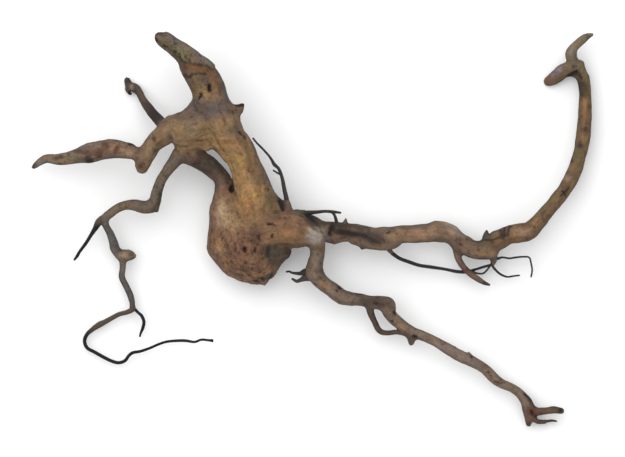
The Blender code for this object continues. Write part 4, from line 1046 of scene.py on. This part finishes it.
        # Painted shade: steep sides turn greyer and darker and slopes darker; level tops get a little painted
        # light
        side = smooth(0.62, 0.1, normal[:, 2])
        slope = smooth(0.97, 0.35, normal[:, 2])
        grey = wood(*self.GREY)
        greyed = grey * (tone.mean(1) / grey.mean())[:, None]
        tone = tone + (self.RIM_GREY * side)[:, None] * (greyed - tone)
        tone *= ((1.0 - self.RIM_SHADE * side) * (self.TOP_SHADE - self.SLOPE_SHADE * slope))[:, None]
        cavity = ((skin.mean(points) - points) * normal).sum(1)
        fine = skin.mean(cavity)
        for _ in range(self.CAVITY_ROUNDS):
            cavity = skin.mean(cavity)
        cavity = fine * self.FINE_CAVITY + cavity * self.BROAD_CAVITY
        grit = sum(self.weight(name) * share for name, share in GRIT.items())
        store(skin.mesh, "tone", Layer.COLOUR, tone)
        store(skin.mesh, "grain", Layer.VECTOR, near.local[0])
        store(skin.mesh, "grain_next", Layer.VECTOR, near.local[1])
        for name, values in (
            ("grain_share", near.share), ("mark_reach", self.reach), ("mark_shade", self.shade),
            ("cavity", np.clip(cavity, -1.0, 1.0)),
            ("rough", np.maximum(self.rough, self.LAYER_ROUGHNESS * self.shelf[0]) + grit),
        ):
            store(skin.mesh, name, Layer.NUMBER, values)


class Signal:
    """A value socket of a material, for use in Python expressions."""

    def __init__(self, bench: "Bench", socket: Any) -> None:
        """Keeps the socket and the bench that adds nodes."""
        self.bench = bench
        self.socket = socket

    def maths(self, operation: str, *values: Any) -> "Signal":
        """Adds a Math node with this operation on the values."""
        made = self.bench.node("ShaderNodeMath", {"operation": operation}, dict(enumerate(values)))
        return Signal(self.bench, made.outputs[0])

    def __add__(self, other: Any) -> "Signal":
        """self + other."""
        return self.maths("ADD", self, other)

    def __mul__(self, other: Any) -> "Signal":
        """self * other."""
        return self.maths("MULTIPLY", self, other)

    def __sub__(self, other: Any) -> "Signal":
        """self - other."""
        return self.maths("SUBTRACT", self, other)

    def __rsub__(self, other: Any) -> "Signal":
        """other - self."""
        return self.maths("SUBTRACT", other, self)

    __radd__ = __add__
    __rmul__ = __mul__

    def between(self, low: float, high: float) -> "Signal":
        """Smooth step of the value from low to high, 0 to 1."""
        made = self.bench.node("ShaderNodeMapRange", {"interpolation_type": "SMOOTHSTEP"}, {
            "Value": self, "From Min": low, "From Max": high,
        })
        return Signal(self.bench, made.outputs["Result"])


class Blend(Enum):
    """How a colour is laid over another."""

    MIX = "MIX"
    MULTIPLY = "MULTIPLY"


class Bench:
    """Builds one material's nodes."""

    def __init__(self, name: str) -> None:
        """Starts a material of this name with its Principled shader."""
        self.material = bpy.data.materials.new(name)
        self.material.use_nodes = True
        self.tree = self.material.node_tree
        self.shader = self.tree.nodes["Principled BSDF"]

    def node(self, kind: str, settings: dict, inputs: dict) -> Any:
        """Adds a node.

        Args:
            kind: the node's type.
            settings: attributes, set first.
            inputs: socket name or number to a value, a Signal or a socket.

        Returns:
            The node.
        """
        made = self.tree.nodes.new(kind)
        for name, value in settings.items():
            setattr(made, name, value)
        for name, value in inputs.items():
            self.fill(made.inputs[name], value)
        return made

    def fill(self, target: Any, value: Any) -> None:
        """Links a Signal or socket to a socket, or sets that socket's value.

        Args:
            target: the socket that is fed.
            value: a value, a Signal or a socket.
        """
        socket = value.socket if isinstance(value, Signal) else value
        if isinstance(socket, bpy.types.NodeSocket):
            self.tree.links.new(socket, target)
        else:
            target.default_value = socket

    def attribute(self, name: str, output: str) -> Any:
        """The socket that reads a stored attribute: Color or Vector."""
        return self.node("ShaderNodeAttribute", {"attribute_name": name}, {}).outputs[output]

    def number(self, name: str) -> Signal:
        """A stored number of each point."""
        return Signal(self, self.attribute(name, "Fac"))

    def vector(self, operation: str, first: Any, second: Any) -> Any:
        """A Vector Math operation on two vectors or colours."""
        return self.node("ShaderNodeVectorMath", {"operation": operation}, {0: first, 1: second}).outputs[0]

    def noise(self, vector: Any, scale: float, detail: float, roughness: float = 0.55) -> Signal:
        """Noise of 0 to 1 at a vector."""
        made = self.node("ShaderNodeTexNoise", {}, {
            "Vector": vector, "Scale": scale, "Detail": detail, "Roughness": roughness,
        })
        return Signal(self, made.outputs["Fac"])

    def mixed(self, share: Signal, first: Any, second: tuple, blend: Blend = Blend.MIX) -> Any:
        """A colour with another laid over it, by a share."""
        settings = {"data_type": "RGBA", "blend_type": blend.value}
        return self.node("ShaderNodeMix", settings, {0: share, 6: first, 7: (*second, 1.0)}).outputs[2]

    def tinted(self, colour: Any, factor: Signal) -> Any:
        """A colour multiplied by a value."""
        grey = self.node("ShaderNodeCombineXYZ", {}, {0: factor, 1: factor, 2: factor}).outputs[0]
        return self.vector("MULTIPLY", colour, grey)

    def bump(self, height: Signal, strength: float, distance: float) -> None:
        """Bends the shader's normals by a height, up to a distance in metres."""
        inputs = {"Strength": strength, "Distance": distance, "Height": height}
        self.feed("Normal", self.node("ShaderNodeBump", {}, inputs).outputs[0])

    def feed(self, name: str, value: Any) -> None:
        """Links a Signal or socket to the shader, or sets the shader's own value."""
        self.fill(self.shader.inputs[name], value)


@dataclass(frozen=True)
class WeatheredWood:
    """Finish of the bare root wood.

    Attributes:
        fibre_pitch: how many fibre streaks there are in a millimetre across the grain.
        fibre_run: how many there are in a millimetre along it.
        patch_pitch: broad patches in a metre.
        blotch_pitch: blotches in a metre.
        fine_pitch: fine mottles in a metre.
        dirt: colour in the cracks and pits, linear, for their grime and painted shade.
    """

    fibre_pitch: float = 0.38
    fibre_run: float = 0.03
    patch_pitch: float = 62.0
    blotch_pitch: float = 170.0
    fine_pitch: float = 620.0
    dirt: tuple = (0.009, 0.006, 0.005)

    DARK, RUST, COOL = (0.66, 0.52, 0.52), (1.0, 0.8, 0.62), (0.92, 0.96, 1.03)
    OLIVE, PURPLE, HALO = (0.95, 1.0, 0.78), (0.95, 0.85, 0.92), (0.5, 0.38, 0.32)
    STREAK, THREAD, BLOTCH, PATCH = 0.8, 0.35, 1.15, 0.5  # how strongly each noise shades the wood
    FINE, PATCHY_FINE, ROUGH_FINE = 0.8, 1.1, 1.2  # the same of the fine one, and more in places
    HOLLOW, CREST = 0.42, 0.22  # how much painted shade darkens the hollows and painted light brightens the crests

    def material(self, name: str) -> Any:
        """Builds the finish as a material.

        The wood's own tone is multiplied by 1 plus a weighted sum of the noises, with painted shade in
        hollows and painted light on crests. Dark, rusty, cool, olive and purple tints are laid over it where
        noises are high or low. Dark specks are laid on, grime and painted shade fill the cracks and marks,
        and each mark has a brown halo.

        Args:
            name: the material's name.

        Returns:
            The material.
        """
        bench = Bench(name)
        share = bench.number("grain_share")
        streaks = []
        for factor in (1.0, 2.6):
            stretch = (self.fibre_run * factor, self.fibre_pitch * factor, self.fibre_pitch * factor)
            first, second = (
                bench.noise(bench.vector("MULTIPLY", bench.attribute(way, "Vector"), stretch), 1.0, 3.0, 0.6)
                for way in ("grain", "grain_next")
            )
            streaks.append(first + share * (second - first))
        streak, thread = streaks
        place = bench.node("ShaderNodeTexCoord", {}, {}).outputs["Object"]
        patch = bench.noise(place, self.patch_pitch, 3.0)
        blotch = bench.noise(place, self.blotch_pitch, 4.0, 0.62)
        aside = bench.vector("ADD", place, (0.31, 0.17, 0.05))
        rust = bench.noise(aside, self.blotch_pitch * 0.8, 3.0, 0.6)
        fine = bench.noise(place, self.fine_pitch, 3.0, 0.6)
        cavity, rough = bench.number("cavity"), bench.number("rough")
        shade = 1.0 + self.STREAK * (streak - 0.5) + self.THREAD * (thread - 0.5)
        shade = shade + self.BLOTCH * (blotch - 0.5) + self.PATCH * (patch - 0.5)
        mottle = self.FINE + self.PATCHY_FINE * patch.between(0.42, 0.62) + self.ROUGH_FINE * rough
        shade = shade + mottle * (fine - 0.5)
        # painted shade in the hollows and painted highlight on the crests
        shade = shade * (1.0 - self.HOLLOW * cavity.between(0.06, 0.85))
        shade = shade * (1.0 + self.CREST * (0.0 - cavity).between(0.06, 0.8))
        colour = bench.tinted(bench.attribute("tone", "Color"), shade)
        for amount, tint in (
            (blotch.between(0.45, 0.3) * 0.8, self.DARK), (rust.between(0.54, 0.68) * 0.6, self.RUST),
            (rust.between(0.46, 0.34) * 0.6, self.COOL), (patch.between(0.54, 0.66) * 0.6, self.OLIVE),
            (patch.between(0.46, 0.35) * 0.6, self.PURPLE),
        ):
            colour = bench.mixed(amount, colour, tint, Blend.MULTIPLY)
        crack = thread.between(0.4, 0.33) * patch.between(0.47, 0.56)
        speck = fine.between(0.6, 0.68) * (0.25 * patch.between(0.5, 0.6) + 0.5 * rough)
        # dark specks, and the fibre cracks in grime and painted shade
        colour = bench.mixed(crack * 0.08 + speck, colour, self.dirt)
        reach = bench.number("mark_reach") + 1.1 * (fine - 0.5) + 0.5 * (blotch - 0.5)
        depth = bench.number("mark_shade")
        colour = bench.mixed(reach.between(2.6, 0.9) * depth * 0.75, colour, self.HALO, Blend.MULTIPLY)
        # the marks' cores in grime and painted shade
        bench.feed("Base Color", bench.mixed(reach.between(1.15, 0.45) * depth, colour, self.dirt))
        bench.feed("Roughness", 0.6 + 0.25 * streak)
        bench.feed("Specular IOR Level", 0.3)
        height = 0.5 * streak + 0.5 * thread + (0.5 + 0.9 * rough) * fine + 0.4 * blotch
        bench.bump(height, 0.6, 0.0008)
        return bench.material


@dataclass(frozen=True)
class DriedRootlet:
    """Finish of the fine rootlets: dried, nearly black bark.

    Attributes:
        run: how stretched the bark's wrinkles are along the rootlet.
    """

    run: float = 0.3

    def material(self, name: str) -> Any:
        """Builds the finish: the tone and roughness by a noise that runs along the rootlet.

        Args:
            name: the material's name.

        Returns:
            The material.
        """
        bench = Bench(name)
        place = bench.attribute("grain", "Vector")
        wrinkle = bench.noise(bench.vector("MULTIPLY", place, (self.run, 1.4, 1.4)), 1.0, 3.0)
        colour = bench.tinted(bench.attribute("tone", "Color"), 0.55 + 0.9 * wrinkle)
        bench.feed("Base Color", colour)
        bench.feed("Roughness", 0.55 + 0.25 * wrinkle)
        bench.feed("Specular IOR Level", 0.2)
        bench.bump(wrinkle, 0.5, 0.0004)
        return bench.material


def dress(shape: Any, material: Any) -> None:
    """Gives a piece its material and has it ride on the root and take its CAD node's place.

    Args:
        shape: the piece.
        material: its finish.
    """
    shape.data.materials.append(material)
    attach(shape, "root")
    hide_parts("root")
    LOG.info("%s: %d points, %d faces", shape.name, len(shape.data.vertices), len(shape.data.polygons))


def linked(name: str, mesh: Any) -> Any:
    """Puts a mesh into the scene at the origin, smooth shaded.

    Args:
        name: the piece's name.
        mesh: its mesh.

    Returns:
        The new object.
    """
    mesh.shade_smooth()
    shape = bpy.data.objects.new(name, mesh)
    bpy.context.scene.collection.objects.link(shape)
    return shape


@dataclass
class WoodBody:
    """The whole root apart from its finest rootlets, as one skin.

    Attributes:
        evening: rounds that take out the cells' steps.
        filling: rounds that round off the crotches.
    """

    evening: int = 4
    filling: int = 60

    def build(self) -> Any:
        """Fuses, carves and colours the wood.

        Returns:
            The finished piece.
        """
        limbs = Crown.LIMBS + LowLimbs.LIMBS + Leg.LIMBS + Arm.LIMBS
        skin = Skin(limbs)
        skin.fuse()
        skin.even_out(self.evening)
        near = Nearness.of(skin.points, limbs)
        skin.fill_crotches(near, self.filling)
        carver = Carver(skin, near)
        carver.carve()
        carver.colour()
        skin.write_points()
        skin.mesh.name = "root_wood_skin"
        shape = linked("root_wood_skin", skin.mesh)
        dress(shape, WeatheredWood().material("weathered_root_wood"))
        return shape


@dataclass
class RootletStrands:
    """All the fine rootlets as one piece of closed tubes.

    Attributes:
        sides: points round a rootlet.
        step: distance between its rings, in mm.
        waver: how far its surface wavers, as a share of the radius.
    """

    sides: int = 10
    step: float = 0.8
    waver: float = 0.12

    BROWN = (90, 77, 66)

    def build(self) -> Any:
        """Sweeps the rootlets and stores their colours.

        Returns:
            The finished piece.
        """
        points, faces, tones, runs, count = [], [], [], [], 0
        for seed, limb in enumerate(Rootlets.LIMBS):
            limb.fluting = self.waver
            spots, quads = limb.surface(self.step, self.sides, 100 + seed)
            along = limb.centres(self.step)[2]
            runs.append(np.concatenate([np.repeat(along, self.sides), along[[0, -1]]]) + 50.0 * seed)
            points.append(spots)
            faces.extend([[corner + count for corner in face] for face in quads])
            tones.append(np.tile(wood(*limb.tone), (len(spots), 1)))
            count += len(spots)
        spots = np.concatenate(points)
        tone = self.browned(spots, np.concatenate(tones))
        mesh = bpy.data.meshes.new("rootlet_strands")
        mesh.from_pydata((spots * MM).tolist(), [], faces)
        mesh.update()
        store(mesh, "tone", Layer.COLOUR, tone)
        run = np.stack([np.concatenate(runs), spots[:, 0] + spots[:, 1], spots[:, 2]], axis=1)
        store(mesh, "grain", Layer.VECTOR, run)
        shape = linked("rootlet_strands", mesh)
        dress(shape, DriedRootlet().material("dried_rootlet"))
        return shape

    def browned(self, spots: Array, tone: Array) -> Array:
        """Tones with the hook's and the left hair's first stretches turned brown like the stem.

        The brown fades in and out by smooth steps of x and y.

        Args:
            spots: (n, 3) places in mm.
            tone: (n, 3) colours.

        Returns:
            (n, 3) colours.
        """
        x, y = spots[:, 0], spots[:, 1]
        brown = smooth(-186.0, -172.0, x) * smooth(-88.0, -80.0, y) * smooth(-58.0, -62.0, y) * (x < -142.0)
        brown = np.maximum(brown, smooth(1.0, 6.0, y) * (x < -150.0))[:, None]
        return tone + brown * (wood(*self.BROWN) - tone)


@dataclass
class Studio:
    """Pale floor, soft overhead light and the camera that looks straight down.

    Attributes:
        height: the camera's height over the floor, in metres.
        aim_height: height of the plane that fills the frame exactly, in metres.
        frame_width: what the frame takes in there from side to side, in metres.
        frame_middle: the pixel that the camera stands over.
        floor_reach: half the floor's side, in metres.
        sky: strength of the even sky.
        lamp_size: side of the square lamp, in metres.
        lamp_power: its watts.
        lamp_place: its place, in metres. It faces the origin.
    """

    height: float = 5.0
    aim_height: float = 0.03
    frame_width: float = 0.5
    frame_middle: tuple = (312.5, 228.25)
    floor_reach: float = 30.0
    sky: float = 0.8
    lamp_size: float = 3.0
    lamp_power: float = 42.0
    lamp_place: tuple = (-0.7, 0.9, 1.9)

    def floor(self) -> None:
        """A pale matt floor, large enough for low views."""
        side = self.floor_reach
        mesh = bpy.data.meshes.new("studio_floor")
        corners = [(-side, -side, 0), (side, -side, 0), (side, side, 0), (-side, side, 0)]
        mesh.from_pydata(corners, [], [(0, 1, 2, 3)])
        bench = Bench("pale_floor")
        bench.feed("Base Color", (0.93, 0.93, 0.93, 1.0))
        bench.feed("Roughness", 0.9)
        bench.feed("Specular IOR Level", 0.1)
        mesh.materials.append(bench.material)
        shape = bpy.data.objects.new("studio_floor", mesh)
        bpy.context.scene.collection.objects.link(shape)

    def light(self) -> None:
        """One large soft lamp overhead, a little up and left, and a faint even sky."""
        world = bpy.data.worlds.new("studio_sky")
        world.use_nodes = True
        sky = world.node_tree.nodes["Background"].inputs
        sky["Color"].default_value = (1.0, 1.0, 1.0, 1.0)
        sky["Strength"].default_value = self.sky
        bpy.context.scene.world = world
        lamp = bpy.data.lights.new("overhead_softbox", "AREA")
        lamp.shape = "SQUARE"
        lamp.size = self.lamp_size
        lamp.energy = self.lamp_power
        shape = bpy.data.objects.new("overhead_softbox", lamp)
        shape.location = self.lamp_place
        toward = -np.array(self.lamp_place)
        tilt = math.acos(-toward[2] / np.linalg.norm(toward))
        shape.rotation_euler = (tilt, 0.0, math.atan2(toward[1], toward[0]) - math.pi / 2)
        shape.visible_camera = False
        bpy.context.scene.collection.objects.link(shape)

    def camera(self) -> None:
        """Camera over the root, with lens = 36 mm distance / frame width."""
        lens = bpy.data.cameras.new("camera")
        lens.sensor_width = 36.0
        lens.lens = lens.sensor_width * (self.height - self.aim_height) / self.frame_width
        lens.clip_end = 100.0
        shape = bpy.data.objects.new("camera", lens)
        x, y = seen_at(*self.frame_middle)
        shape.location = (x * MM, y * MM, self.height)
        bpy.context.scene.collection.objects.link(shape)
        bpy.context.scene.camera = shape

    def build(self) -> None:
        """Sets up the floor, the light and the camera."""
        self.floor()
        self.light()
        self.camera()
        bpy.context.scene.view_settings.view_transform = "Standard"


def main() -> None:
    """Builds the root's pieces and the studio."""
    WoodBody().build()
    RootletStrands().build()
    Studio().build()


if __name__ == "__main__":
    main()
